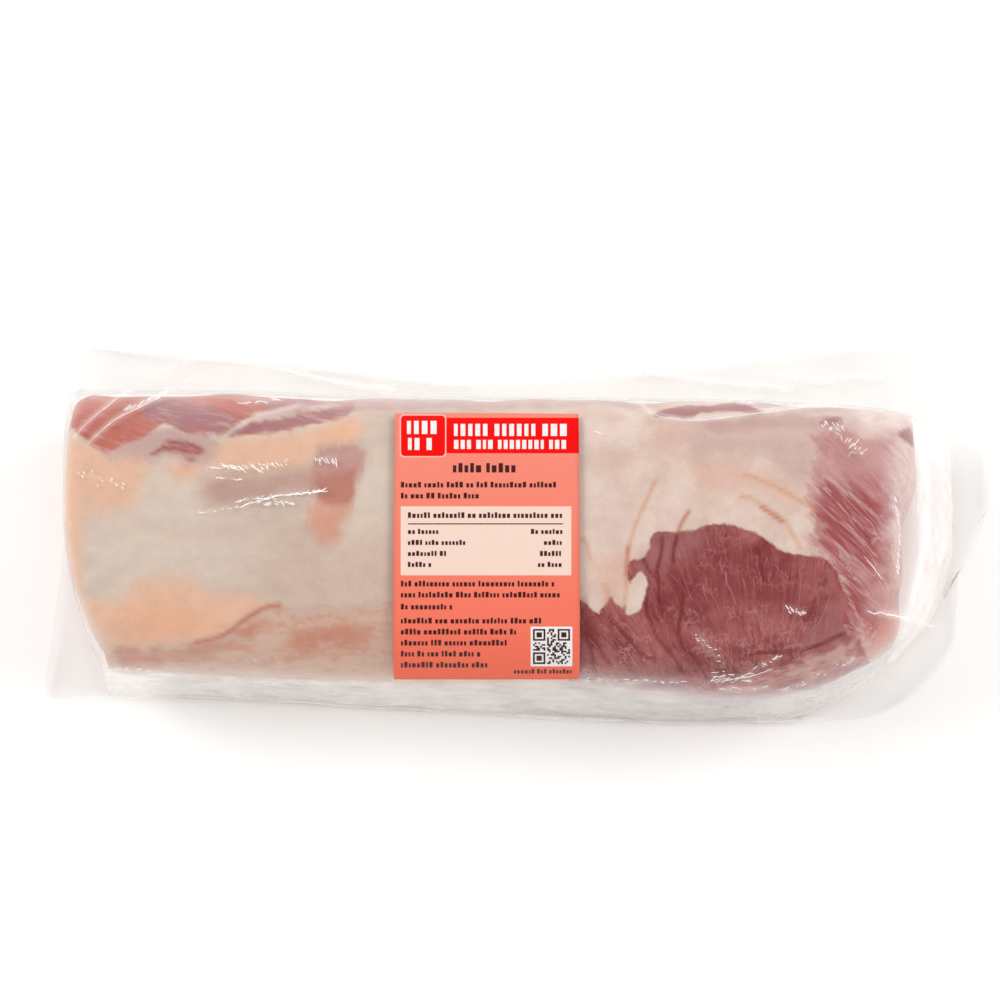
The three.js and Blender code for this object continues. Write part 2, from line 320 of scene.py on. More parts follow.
BACK_STRIP = [
    (229, 436), (234, 428), (256, 422), (278, 418), (298, 412), (319, 409), (338, 407),
    (352, 407), (346, 413), (337, 416), (319, 421), (301, 425), (284, 429), (263, 432),
    (246, 434),
]
REGIONS = {
    "light": [
        [(88, 504), (110, 494), (140, 490), (168, 480), (200, 478), (210, 500), (236, 508),
         (250, 524), (200, 534), (140, 530), (96, 534)],
        [(90, 540), (140, 528), (200, 532), (260, 540), (250, 566), (190, 574), (130, 574), (96, 566)],
        [(366, 450), (380, 440), (400, 450), (404, 520), (380, 540), (362, 520)],
    ],
    "blush": [
        [(300, 540), (340, 548), (400, 540), (420, 560), (420, 620), (330, 606), (280, 600)],
    ],
    "peach": [
        [(68, 438), (90, 446), (112, 453), (138, 452), (150, 460), (146, 472), (143, 484),
         (136, 492), (128, 506), (112, 510), (96, 512), (84, 522), (80, 560), (80, 600),
         (60, 606), (54, 520)],
        [(168, 466), (180, 462), (196, 464), (203, 468), (196, 474), (180, 475), (169, 472)],
        [(208, 462), (225, 439), (242, 436), (278, 433), (301, 432), (319, 426), (337, 422),
         (352, 419), (360, 424), (359, 436), (352, 441), (340, 446), (322, 449), (316, 458),
         (308, 464), (291, 468), (278, 472), (250, 472), (228, 471), (212, 468)],
        [(84, 598), (100, 600), (114, 602), (128, 592), (142, 580), (165, 577), (190, 581),
         (210, 590), (235, 594), (258, 598), (266, 607), (247, 617), (227, 631), (214, 639),
         (190, 644), (153, 648), (125, 650), (108, 646), (94, 625)],
    ],
    "orange": [
        [(330, 432), (338, 424), (352, 421), (358, 426), (355, 436), (342, 440)],
        [(118, 628), (135, 612), (160, 606), (190, 610), (214, 618), (200, 632), (170, 640), (135, 640)],
        [(172, 469), (185, 466), (197, 468), (188, 473), (176, 473)],
    ],
    "fold": [
        [(233, 421), (246, 416), (262, 410), (280, 406), (298, 402), (320, 398), (345, 396),
         (352, 400), (340, 406), (319, 408), (298, 411), (278, 416), (256, 421), (236, 428)],
    ],
    "spots": [
        [(80, 499), (86, 493), (92, 498), (88, 505), (82, 505)],
        [(81, 562), (88, 556), (94, 562), (90, 570), (83, 570)],
        [(92, 578), (108, 570), (128, 566), (122, 578), (106, 590), (92, 598), (84, 592)],
    ],
    "stripe": [
        [(205, 484), (228, 478), (262, 477), (291, 470), (314, 470), (318, 489), (284, 493),
         (263, 499), (228, 506), (207, 502)],
    ],
    "bruise": [
        [(314, 470), (319, 452), (330, 448), (354, 447), (364, 452), (362, 466), (358, 480),
         (356, 494), (351, 506), (338, 508), (324, 505), (316, 496), (315, 484)],
    ],
    "bruise_top": [
        [(314, 470), (317, 452), (328, 446), (350, 445), (366, 450), (364, 464), (340, 470)],
    ],
    "salmon": [
        [(315, 502), (326, 506), (350, 505), (348, 516), (341, 526), (340, 538), (332, 545),
         (318, 543), (310, 534), (308, 518)],
    ],
    "lower": [
        [(100, 650), (125, 650), (153, 649), (190, 645), (216, 639), (229, 631), (247, 618),
         (264, 607), (280, 605), (300, 612), (331, 610), (364, 606), (394, 602), (480, 606),
         (560, 612), (590, 620), (590, 900), (60, 900), (60, 660)],
    ],
    "lower_red": [
        [(118, 652), (160, 650), (215, 642), (250, 622), (264, 622), (240, 646), (200, 658),
         (150, 664), (116, 662)],
        [(285, 645), (300, 630), (330, 626), (364, 628), (378, 640), (352, 652), (315, 656),
         (292, 655)],
    ],
    "pink": [
        [(688, 452), (720, 456), (750, 462), (780, 480), (800, 492), (806, 505), (790, 506),
         (768, 494), (740, 490), (712, 492), (694, 480)],
        [(606, 452), (622, 456), (634, 462), (626, 470), (612, 466)],
        [(650, 430), (668, 424), (688, 428), (684, 440), (664, 442)],
        [(594, 562), (612, 552), (628, 550), (640, 558), (630, 588), (612, 602), (596, 592)],
    ],
    "mauve": [
        [(690, 418), (720, 413), (760, 412), (800, 409), (840, 409), (868, 412), (866, 436),
         (845, 440), (830, 450), (818, 462), (812, 480), (808, 492), (803, 488), (786, 477),
         (774, 468), (761, 458), (740, 457), (715, 458), (692, 457), (690, 440)],
    ],
    "faded": [
        [(340, 399), (360, 380), (400, 364), (470, 372), (540, 350), (600, 362), (660, 350),
         (700, 372), (760, 366), (800, 384), (860, 396), (905, 402), (900, 409), (860, 409),
         (800, 411), (740, 402), (690, 401),
         (655, 408), (630, 409), (600, 405), (560, 407), (500, 408), (420, 410), (365, 412),
         (345, 410)],
        [(706, 426), (713, 421), (728, 420), (746, 418), (765, 417), (790, 414), (817, 413),
         (842, 416), (840, 425), (817, 428), (790, 425), (765, 426), (746, 429), (728, 431),
         (713, 430)],
    ],
    "under_back": [
        [(98, 448), (112, 440), (135, 430), (160, 424), (190, 430), (212, 438), (214, 450),
         (206, 462), (190, 466), (172, 458), (150, 462), (128, 458), (108, 458)],
    ],
    "back_muscle": [
        [(62, 414), (66, 380), (80, 344), (104, 350), (136, 336), (163, 352), (200, 344),
         (240, 362), (280, 352), (320, 372), (345, 388), (340, 399), (319, 402), (298, 405),
         (278, 409), (260, 413), (246, 419),
         (236, 424), (232, 429), (224, 433), (209, 432), (195, 432), (186, 430), (179, 426),
         (166, 424), (155, 428), (145, 435), (133, 439), (122, 444), (112, 451), (102, 448),
         (89, 444), (80, 437), (70, 428)],
        BACK_STRIP,
    ],
    "back_grey": [
        [(150, 394), (175, 397), (200, 402), (225, 411), (238, 421), (234, 430), (222, 433),
         (200, 431), (175, 425), (158, 421), (142, 412)],
        BACK_STRIP,
        [(262, 398), (290, 397), (345, 392), (340, 398), (300, 404), (270, 408)],
    ],
    "far_muscle": [
        [(818, 452), (822, 440), (838, 432), (860, 436), (885, 437), (905, 430), (925, 430),
         (950, 450), (950, 620), (900, 614), (882, 613), (866, 608), (856, 607), (849, 597),
         (838, 572), (831, 566), (825, 557), (818, 547), (814, 536), (816, 525), (814, 511),
         (808, 500), (810, 480)],
        [(832, 590), (850, 594), (870, 600), (884, 616), (878, 646), (856, 658), (836, 646),
         (826, 618)],
    ],
    "far_pink": [
        [(818, 452), (822, 438), (850, 434), (885, 437), (905, 430), (920, 440), (916, 480),
         (902, 500), (890, 488), (872, 478), (850, 480), (830, 474), (816, 468)],
    ],
    "far_deep": [
        [(818, 498), (826, 480), (845, 480), (862, 486), (876, 500), (890, 518), (888, 530),
         (878, 536), (872, 550), (864, 562), (842, 556), (822, 534)],
        [(832, 446), (850, 448), (862, 462), (850, 470), (838, 462)],
        [(824, 556), (842, 566), (856, 580), (864, 600), (862, 620), (850, 634), (838, 610)],
    ],
    # The end's pale edge: partly the meat's own pale rim, partly the film's painted highlight over it by
    # the air pocket
    "pale_end_and_sheen": [
        [(894, 440), (903, 425), (940, 420), (950, 500), (940, 640), (899, 640), (893, 600),
         (887, 560), (888, 500)],
        [(858, 412), (870, 400), (930, 396), (940, 428), (905, 433), (885, 434), (866, 430)],
    ],
    "slit": [
        [(655, 415), (664, 409), (675, 406), (690, 404), (700, 406), (720, 405), (740, 404),
         (755, 409), (762, 412), (740, 411), (715, 411), (700, 412), (690, 416), (673, 417)],
        [(820, 420), (828, 415), (838, 416), (844, 422), (836, 426), (826, 426)],
        [(900, 432), (910, 428), (918, 434), (917, 446), (908, 442)],
    ],
    "tongue": [
        [(150, 455), (158, 449), (162, 443), (167, 440), (181, 441), (193, 443), (203, 449),
         (200, 456), (193, 462), (186, 458), (180, 453), (169, 451), (159, 452)],
    ],
    "slit_line": [
        [(700, 405), (714, 405), (728, 403), (744, 404), (760, 412), (742, 407), (728, 406),
         (712, 408)],
    ],
    "dark_muscle": [
        [(566, 595), (579, 600), (585, 604), (592, 610), (598, 614), (602, 609), (607, 605),
         (610, 597), (615, 603), (621, 608), (625, 607), (623, 614), (630, 616), (638, 612),
         (643, 602), (646, 592), (648, 583), (647, 577), (641, 570), (634, 576), (630, 583),
         (628, 575), (630, 563), (636, 560), (643, 557), (649, 551), (651, 543), (655, 534),
         (664, 531), (674, 533), (684, 530), (697, 530), (704, 527), (716, 524), (731, 525),
         (740, 528), (754, 533), (768, 541), (779, 549), (790, 554), (799, 555), (812, 557),
         (826, 559), (832, 567), (838, 574), (842, 585), (846, 598), (848, 612), (844, 624),
         (850, 636), (862, 644), (874, 690), (862, 730), (880, 780), (868, 900), (540, 900),
         (566, 840), (548, 790), (574, 750), (552, 715), (570, 680), (562, 640)],
    ],
    "core": [
        [(690, 548), (712, 540), (740, 544), (768, 556), (794, 566), (806, 584), (800, 604),
         (770, 610), (740, 604), (715, 612), (694, 606), (684, 580)],
        [(655, 566), (672, 560), (684, 580), (686, 620), (670, 640), (655, 620), (650, 590)],
    ],
    "veil": [
        [(632, 566), (644, 556), (650, 544), (655, 532), (684, 528), (702, 530), (704, 544),
         (690, 556), (668, 562), (652, 574), (640, 572)],
        [(806, 632), (830, 608), (846, 600), (852, 622), (846, 640), (826, 650), (806, 650)],
    ],
    "salmon_end": [
        [(859, 628), (861, 617), (870, 612), (882, 613), (897, 614), (900, 628), (893, 644),
         (880, 657), (862, 668), (843, 677), (818, 682), (828, 672), (844, 666), (856, 658),
         (860, 645)],
    ],
    "frost": [
        [(722, 692), (740, 682), (757, 674), (775, 669), (796, 662), (813, 655), (828, 650),
         (845, 643), (859, 640), (858, 650), (852, 661), (838, 668), (820, 677), (796, 684),
         (768, 690), (740, 696)],
    ],
}

# Strands on the loin: veins, seams between muscles, creases, whose dark red is deepened by painted
# shade, and pale fibres, in pixels

TAN_VEINS = [
    [(655, 481), (649, 495), (643, 508), (637, 521), (632, 535), (628, 551)],
    [(582, 538), (587, 546), (590, 559)],
    [(740, 497), (751, 498), (762, 506), (774, 513), (785, 522), (793, 534), (800, 548)],
    [(745, 474), (761, 480), (782, 490), (802, 502), (814, 511)],
    [(626, 580), (626, 590), (625, 600), (624, 607)],
    [(606, 586), (608, 594), (606, 602)],
]
RED_SEAMS = [
    [(280, 605), (264, 608), (247, 618), (229, 632), (216, 639), (196, 643)],
    [(689, 511), (682, 522), (678, 532)],
    [(762, 507), (772, 514), (782, 521)],
    [(628, 548), (627, 560), (626, 575)],
]
# The creases' grooves and dark strands carry painted shade as well as the meat's own dark red
SHADED_CREASES = [
    [(586, 634), (591, 651), (593, 668), (596, 676)],
    [(586, 633), (596, 645), (604, 658), (611, 666)],
    [(609, 617), (621, 631), (633, 645), (643, 656), (655, 661)],
    [(648, 615), (657, 637), (669, 652), (679, 667), (684, 674)],
    [(662, 537), (661, 554), (657, 570), (658, 585), (660, 603), (663, 614)],
    [(678, 532), (676, 540), (673, 552), (673, 562)],
    [(683, 583), (683, 598), (681, 615), (679, 627), (680, 639), (686, 651), (697, 661),
     (703, 673), (708, 682)],
    [(643, 557), (649, 570), (657, 578)],
    [(740, 660), (757, 654), (782, 653), (807, 650), (827, 642), (844, 635)],
    [(814, 511), (838, 525), (852, 537), (866, 550)],
    [(828, 562), (836, 571), (843, 584), (849, 597), (857, 606), (866, 609)],
    [(646, 598), (647, 615)],
    [(757, 548), (762, 562), (764, 580)],
    [(818, 540), (832, 552), (846, 566), (858, 580)],
    [(830, 500), (848, 515), (864, 533), (876, 552)],
]
PALE_FIBRES = [
    [(704, 583), (709, 591), (716, 602), (720, 614)],
    [(725, 580), (731, 591), (736, 605)],
    [(667, 571), (674, 578), (680, 586)],
    [(740, 609), (746, 612), (760, 610)],
    [(725, 622), (735, 616), (740, 620)],
    [(686, 629), (696, 636)],
    [(704, 658), (712, 664), (717, 657)],
    [(588, 637), (595, 645), (605, 657), (615, 664)],
    [(755, 562), (761, 578), (761, 592)],
    [(774, 564), (782, 575)],
    [(800, 555), (800, 578), (800, 606)],
    [(828, 576), (831, 589), (827, 606), (818, 625), (813, 641)],
    [(744, 609), (748, 613), (765, 610)],
    [(702, 583), (706, 598)],
    [(740, 676), (760, 669), (775, 663)],
    [(682, 640), (687, 650), (691, 660)],
    [(840, 602), (848, 596), (856, 600)],
    [(846, 555), (853, 565), (858, 572)],
    [(850, 575), (862, 582), (870, 592), (868, 600)],
    [(858, 520), (870, 535), (880, 550), (888, 566)],
    [(880, 560), (890, 575), (900, 592), (905, 604)],
    [(842, 483), (856, 484), (866, 492), (872, 503)],
    [(843, 553), (850, 562), (855, 572)],
    [(606, 640), (612, 650), (620, 657)],
]

# Threads that are drawn at random: how many, their shortest and longest in pixels, and the seed
PALE_THREADS = (46, 6, 20, 33)
DARK_THREADS = (10, 12, 30, 31)
END_PALE_THREADS = (30, 10, 40, 34)
THREAD_PARTS = 4
THREAD_TURN = 0.22  # how far a thread strays from the fibres, in radians
THREAD_SWERVE = 0.16  # and how far it turns at each part
END_LEAN = (0.74, 0.67)  # the way that the end muscle's fibres run, in pixels right and down

# The film's folds, with white strands and milk along them as painted highlights, and its drops, in
# pixels

BRIGHT_FOLDS = [
    [(75, 437), (85, 425), (100, 412), (115, 400), (130, 390), (147, 380), (172, 368),
     (200, 361), (233, 357)],
    [(88, 444), (100, 432), (112, 422), (125, 414), (140, 407), (155, 399), (175, 388),
     (192, 380)],
    [(880, 612), (890, 615), (903, 618), (918, 623), (934, 629)],
    [(640, 403), (655, 415), (690, 420), (720, 418), (760, 413), (800, 408), (835, 405),
     (866, 405)],
]
SOFT_FOLDS = [
    [(234, 430), (256, 418), (278, 412), (300, 406)],
]
# Rows of glints, painted as short white strands: a line, how far they stray, how many, their length and
# their slope
GLINT_ROWS = [
    ([(221, 464), (243, 466)], 0.6, 10, 6, 0.8),
    ([(207, 467), (224, 467), (234, 469)], 0.5, 5, 6, 0.05),
    ([(250, 464), (258, 470)], 0.8, 5, 4, 0.7),
    ([(258, 467), (270, 464), (287, 461)], 1.6, 11, 4, 0.8),
    ([(214, 478), (241, 479)], 0.5, 5, 4, 0.05),
    ([(239, 508), (256, 502), (266, 499)], 0.5, 9, 5, -0.45),
    ([(266, 500), (274, 496), (294, 494)], 0.4, 7, 6, -0.1),
    ([(294, 494), (319, 491)], 0.4, 6, 6, 0.0),
    ([(308, 494), (323, 492)], 0.8, 7, 4, -0.8),
    ([(235, 502), (263, 497)], 0.6, 5, 5, -0.2),
    ([(264, 502), (291, 502)], 1.5, 12, 3.5, 0.4),
    ([(199, 512), (236, 508)], 0.5, 4, 4, 0.0),
    ([(316, 459), (336, 458)], 2.6, 10, 4, 1.2),
    ([(124, 411), (140, 405), (156, 398)], 0.8, 12, 5, -0.7),
    ([(238, 402), (262, 401), (276, 400)], 1.0, 9, 5, 0.1),
    ([(78, 472), (124, 486)], 4.0, 7, 3, 0.9),
    ([(738, 404), (752, 404)], 0.6, 6, 4, -0.5),
    ([(822, 423), (842, 426)], 2.0, 9, 4, 0.9),
    ([(846, 440), (862, 452)], 2.5, 8, 4, -0.8),
    ([(710, 682), (740, 677), (777, 657)], 1.0, 18, 5, -0.3),
    ([(712, 676), (745, 680)], 2.0, 8, 5, -0.2),
    ([(717, 689), (762, 688)], 1.2, 4, 5, 0.0),
    ([(586, 680), (680, 681)], 1.2, 10, 4, 0.0),
    ([(694, 630), (722, 664)], 5.0, 6, 3, 0.3),
    ([(782, 691), (850, 661)], 2.5, 7, 4, -0.4),
    ([(894, 496), (899, 530), (897, 572)], 2.4, 16, 5, 1.2),
    ([(786, 608), (804, 612)], 1.5, 9, 4, 0.9),
    ([(110, 668), (250, 682), (390, 684)], 1.6, 26, 5, 0.0),
    ([(868, 612), (900, 616), (932, 626)], 1.0, 12, 8, 0.25),
]
GLINT_DENSITY = 1.6
GLINT_SEED = 21
GLINT_TURN = 0.16
GLINT_BEND = 0.4
# Short lines of painted highlight on the film
FINE_GLINTS = [
    [(272, 497), (284, 495), (300, 494), (316, 492)],
    [(240, 507), (252, 503), (262, 500)],
    [(592, 431), (600, 433), (603, 435)],
    [(835, 432), (841, 436), (842, 441)],
    [(848, 457), (852, 452), (857, 454)],
    [(740, 679), (752, 676), (764, 672), (772, 669)],
    [(864, 556), (874, 568), (882, 580)],
]
MARGIN_FOLDS = [
    [(80, 340), (110, 350), (153, 355), (205, 353)],
    [(233, 358), (253, 360), (303, 368), (353, 373), (413, 383), (470, 387)],
    [(277, 370), (320, 380), (353, 387), (393, 391)],
    [(607, 374), (636, 368), (663, 368), (698, 364), (733, 357)],
    [(640, 374), (690, 380), (740, 386), (790, 390)],
    [(780, 376), (820, 384), (850, 378), (880, 380)],
    [(902, 350), (925, 362), (945, 380), (958, 398)],
    [(110, 683), (180, 692), (260, 697), (340, 705), (430, 711)],
    [(520, 716), (620, 721), (720, 723), (820, 718)],
    [(930, 430), (942, 460), (946, 520), (940, 570)],
    [(922, 440), (928, 500), (922, 560), (912, 600)],
]
DROP_HEIGHT = 0.22  # as a share of a drop's width
# Each drop's pixel and its width in millimetres
DROPS = [
    (255, 660, 1.5), (262, 685, 1.2), (303, 686, 1.6), (331, 691, 1.0), (395, 686, 1.4),
    (425, 686, 1.1), (490, 694, 1.5), (556, 697, 0.9), (765, 710, 2.1), (800, 719, 1.8),
    (637, 427, 0.9), (637, 452, 0.7), (629, 453, 0.6), (851, 661, 1.1), (778, 690, 0.9),
    (98, 474, 0.6), (80, 473, 0.6), (121, 485, 0.7), (103, 487, 0.5), (844, 487, 0.8),
    (612, 676, 0.6), (884, 642, 0.6), (719, 680, 0.9), (860, 446, 0.7), (905, 442, 0.9),
]


# Making meshes

STEEPEST = 0.2  # lines are left off surfaces whose normal's upward share is lower
SIZE_VARIES = (0.7, 1.15)  # how thick one strand is beside others, and one place beside the next
WIDTH_VARIES = (0.75, 1.25)


def finish_mesh(bm, name, smooth=True):
    """Writes a bmesh, in millimetres, as an object in metres."""
    bmesh.ops.scale(bm, vec=(TO_METRES,) * 3, verts=bm.verts)
    mesh = bpy.data.meshes.new(name)
    bm.to_mesh(mesh)
    bm.free()
    if smooth:
        mesh.polygons.foreach_set("use_smooth", [True] * len(mesh.polygons))
    piece = bpy.data.objects.new(name, mesh)
    bpy.context.scene.collection.objects.link(piece)
    return piece


def smooth_out(bm, verts, times):
    """Evens out some of a bmesh's corners."""
    for _ in range(times):
        bmesh.ops.smooth_vert(
            bm, verts=verts, factor=0.5, use_axis_x=True, use_axis_y=True, use_axis_z=True
        )


def places_of(bm):
    return np.array([v.co for v in bm.verts], float)


def move_to(bm, places):
    for vert, place in zip(bm.verts, places):
        vert.co = place


def normals_of(bm):
    bm.normal_update()
    return np.array([v.normal for v in bm.verts], float)


def write_attribute(piece, name, values):
    attribute = piece.data.attributes.new(name, "FLOAT", "POINT")
    attribute.data.foreach_set("value", np.asarray(values, np.float32))


def lumps(places, size, seed):
    """Smooth noise from -1 to 1 at each place, with lumps of about that size."""
    shift = Vector((seed * 17.3, seed * 5.1, seed * 29.7))
    return np.array([noise.noise(Vector(p / size) + shift) for p in places])


def tree_of(piece):
    mesh = piece.data
    verts = [v.co for v in mesh.vertices]
    return BVHTree.FromPolygons(verts, [p.vertices[:] for p in mesh.polygons])


def add_spline(curve, track):
    """One strand of a curve, through places that each have a width."""
    if len(track) < 3:
        return
    spline = curve.splines.new("POLY")
    spline.points.add(len(track) - 1)
    for point, (place, width) in zip(spline.points, track):
        point.co = (*place, 1.0)
        point.radius = width


def strands(name, tree, lines, radius, sunk, seed, wander=0.3):
    """Thin tapering strands along lines of pixels, partly sunk in the surface that shows there."""
    draw = random.Random(seed)
    curve = bpy.data.curves.new(name, "CURVE")
    curve.dimensions = "3D"
    curve.bevel_depth = radius * TO_METRES
    curve.bevel_resolution = 1
    curve.use_fill_caps = True
    for line in lines:
        points = smooth_line(line, closed=False)
        size = draw.uniform(*SIZE_VARIES)
        tracks = [[]]
        for i, (px, py) in enumerate(points):
            px, py = px + draw.uniform(-wander, wander), py + draw.uniform(-wander, wander)
            place, normal = seen_on(tree, px, py)
            if place is None or normal.z < STEEPEST:
                tracks.append([])
                continue
            taper = math.sin(math.pi * (i + 0.6) / (len(points) + 0.2)) ** 0.6
            width = size * taper * draw.uniform(*WIDTH_VARIES)
            tracks[-1].append((place - normal * sunk * radius * width * TO_METRES, width))
        for track in tracks:
            add_spline(curve, track)
    made = bpy.data.objects.new(name, curve)
    bpy.context.scene.collection.objects.link(made)
    bpy.context.view_layer.update()
    mesh = bpy.data.meshes.new_from_object(made)
    bpy.data.objects.remove(made)
    piece = bpy.data.objects.new(name, mesh)
    bpy.context.scene.collection.objects.link(piece)
    mesh.polygons.foreach_set("use_smooth", [True] * len(mesh.polygons))
    return piece


# The loin's mesh starts as a divided cube, and its corners' places are shares from -1 to 1

LOIN_CUTS = {"x": 320, "y": 112, "z": 24}
LOIN_INSET = 0.7  # how far the meat stays under the film
LOIN_FLOOR = 0.5
CORNER_SHARES = (0.95, 0.86)  # past these shares along and across, an upright corner is evened out
CORNER_SMOOTHING = 30
FRONT_SHARE = 0.44  # the share of the top's steps that go round the front edge
BACK_SHARE = 0.5
LEFT_SHARE = 0.06
RIGHT_SHARE = 0.12
LEFT_BACK_ROUND = (11.0, 5.0)  # how far a corner's rounding reaches, and how deep it cuts
LEFT_FRONT_ROUND = (13.0, 1.5)
RIGHT_STEP = (12.0, -16.0, 5.5)  # the right end steps in: from where, to where, how far
RIGHT_RETURN = (-42.0, -58.0, 3.0)  # and comes out again at the front
BACK_WAVE = 0.45  # how far the back edge wavers
UNDERCUT_FROM = 0.2  # where the walls start to curve in underneath
UNDERCUT_HEIGHT = 0.62  # as a share of the wall's height
UNDERCUT_SIDE = 22.0
UNDERCUT_END = 7.0
UNDERSIDE = (34.0, 46.0)  # how far down from the top the relief fades out
DEEPEST_CUT = 60.0
AT_EDGE = 0.999  # a share past this lies on a wall


def divided_cube():
    bm = bmesh.new()
    bmesh.ops.create_cube(bm, size=2)
    for axis, key in enumerate("xyz"):
        along = [e for e in bm.edges if abs(e.verts[0].co[axis] - e.verts[1].co[axis]) > 1]
        bmesh.ops.subdivide_edges(bm, edges=along, cuts=LOIN_CUTS[key] - 1, use_grid_fill=True)
    return bm


def rounded_place(t, low, high, low_radius, high_radius, low_share, high_share):
    """A place between two walls for t from -1 to 1, and how far the top has dropped there."""
    turn_low = math.pi / 2 * clamp01((t + 1) / low_share)
    turn_high = math.pi / 2 * clamp01((1 - t) / high_share)
    middle = clamp01((t + 1 - low_share) / (2 - low_share - high_share))
    place = lerp(low + low_radius, high - high_radius, middle)
    near_low = t < low_share - 1
    near_high = t > 1 - high_share
    place = np.where(near_low, low + low_radius * (1 - np.cos(turn_low)), place)
    place = np.where(near_high, high - high_radius * (1 - np.cos(turn_high)), place)
    drop = np.where(near_low, low_radius * (1 - np.sin(turn_low)), 0.0)
    drop = np.where(near_high, high_radius * (1 - np.sin(turn_high)), drop)
    return place, drop


def place_across(b, x):
    radii = (FRONT["radius"], BACK["radius"], FRONT_SHARE, BACK_SHARE)
    front = loin_front(x) + LOIN_INSET + corner_cut(x - LOIN_LEFT, LEFT_FRONT_ROUND)
    back = loin_back(x) - LOIN_INSET - corner_cut(x - LOIN_LEFT, LEFT_BACK_ROUND)
    back = back + BACK_WAVE * (np.sin(x / 9.0) + 0.6 * np.sin(x / 4.1 + 1.0))
    return rounded_place(b, front, back, *radii)


def meat_right(y):
    """The meat's right end, which stands off the film at the air pocket."""
    right = loin_right(y) - LOIN_INSET
    for (start, end, step), way in ((RIGHT_STEP, -1), (RIGHT_RETURN, 1)):
        right = right + way * step * smoothstep(-y, -start, -end)
    return right


def place_along(a, y):
    radii = (LEFT["radius"], RIGHT["radius"], LEFT_SHARE, RIGHT_SHARE)
    return rounded_place(a, loin_left(y) + LOIN_INSET, meat_right(y), *radii)


def loin_top(a, b):
    """The loin's top at shares along and across it."""
    middle_x, _ = place_along(a, 0.0)
    middle_y, _ = place_across(b, 0.0)
    x, drop_x = place_along(a, middle_y)
    y, drop_y = place_across(b, middle_x)
    top = top_height(x, y)
    z = top * (1 - drop_x / top) * (1 - drop_y / top) - LOIN_INSET
    return x, y, z


def loin_places(shares):
    """Where the cube's corners go, and how far down from the top each one is."""
    a, b, c = shares.T
    x, y, z = loin_top(a, b)
    below = clamp01((UNDERCUT_FROM - c) / (UNDERCUT_FROM + 1))
    turn = math.pi / 2 * below
    upper = lerp(UNDERCUT_HEIGHT, 1.0, clamp01((c - UNDERCUT_FROM) / (1 - UNDERCUT_FROM)))
    height = np.where(below > 0, UNDERCUT_HEIGHT * (1 - np.sin(turn)), upper)
    inward = 1 - np.cos(turn)
    low_y, high_y = loin_front(x), loin_back(x)
    share_y = (y - low_y) / (high_y - low_y)
    y = y + inward * UNDERCUT_SIDE * (1 - 2 * share_y)
    low_x, high_x = loin_left(y), loin_right(y)
    share_x = (x - low_x) / (high_x - low_x)
    x = x + inward * UNDERCUT_END * (1 - 2 * share_x)
    places = np.stack([x, y, LOIN_FLOOR + height * (z - LOIN_FLOOR)], axis=1)
    return places, (1 - height) * z + inward * UNDERCUT_SIDE


def photo_chart(shares, down):
    """Pixels for the whole surface: as seen on the top, and carried on down the walls."""
    a, b, c = shares.T
    px, py = pixel_of(np.stack(loin_top(a, b), axis=1))
    out = np.where(c < 1, down / PIXEL, 0.0)
    py = py + np.where(b < -AT_EDGE, out, 0.0) - np.where(b > AT_EDGE, out, 0.0)
    px = px + np.where(a > AT_EDGE, out, 0.0) - np.where(a < -AT_EDGE, out, 0.0)
    return px, py


# Relief in millimetres: how far each kind of surface lies below the fat
RELIEF = {
    "dark_muscle": 0.55,
    "far_muscle": 0.7,
    "back_muscle": 0.8,
    "bruise": 0.5,
    "stripe": 0.4,
    "lower": 0.4,
    "mauve": 0.3,
}
RELIEF_EDGE = 2.2
CREASE_DEPTH = 0.35
CREASE_WIDTH = 0.7
VEIN_WIDTH = 0.8
LUMP_HEIGHT = 0.35
FAN_CENTRE = 770.0  # the fibres of the dark muscle run down towards this pixel column
FAN_TOP = 530.0
FAN_CLOSING = 0.0030
VISIBLE_TO = (912.0, 692.0)  # pixels past which the loin's walls begin


def loin_relief(places, px, py, depths, groove_and_shade):
    low = np.zeros(len(px))
    for name, depth in RELIEF.items():
        low = np.maximum(low, depth * smoothstep(depths[name], -RELIEF_EDGE, RELIEF_EDGE))
    muscle = smoothstep(np.maximum(depths["dark_muscle"], depths["far_muscle"]), 0, 3)
    bumps = lumps(places, 9.0, seed=1) * 0.6 + lumps(places, 3.5, seed=2) * 0.4
    bumps = bumps * (0.5 + muscle)
    return -low - CREASE_DEPTH * groove_and_shade - LUMP_HEIGHT * (0.6 - 0.6 * bumps)


def fan_across(px, py):
    """A coordinate that is even along each fibre of the dark muscle."""
    closing = np.clip(1 - FAN_CLOSING * (py - FAN_TOP), 0.35, 1.6)
    return (px - FAN_CENTRE) / closing * PIXEL


def fan_lean(px, py):
    """The direction of the dark muscle's fibres at a pixel."""
    closing = 1 - FAN_CLOSING * (py - FAN_TOP)
    right = -FAN_CLOSING * (px - FAN_CENTRE) / closing
    size = math.hypot(right, 1.0)
    return right / size, 1.0 / size


def end_lean(px, py):
    """The direction of the end muscle's fibres, which is the same at each pixel."""
    return END_LEAN


def threads(outline, lean, amount):
    """Short wavy lines inside an outline that run the way its fibres do."""
    count, shortest, longest, seed = amount
    draw = random.Random(seed)
    edge = smooth_line(outline, closed=True)
    low, high = edge.min(axis=0), np.minimum(edge.max(axis=0), VISIBLE_TO)
    lines = []
    while len(lines) < count:
        px, py = draw.uniform(low[0], high[0]), draw.uniform(low[1], high[1])
        if not inside_outline(np.array([px]), np.array([py]), edge)[0]:
            continue
        length = draw.uniform(shortest, longest)
        turn = draw.uniform(-THREAD_TURN, THREAD_TURN)
        line = [(px, py)]
        for _ in range(THREAD_PARTS):
            right, down = lean(px, py)
            turn += draw.uniform(-THREAD_SWERVE, THREAD_SWERVE)
            px += length / THREAD_PARTS * (right * math.cos(turn) - down * math.sin(turn))
            py += length / THREAD_PARTS * (down * math.cos(turn) + right * math.sin(turn))
            line.append((px, py))
        ends = np.array(line)
        if inside_outline(ends[:, 0], ends[:, 1], edge).all():
            lines.append(line)
    return lines


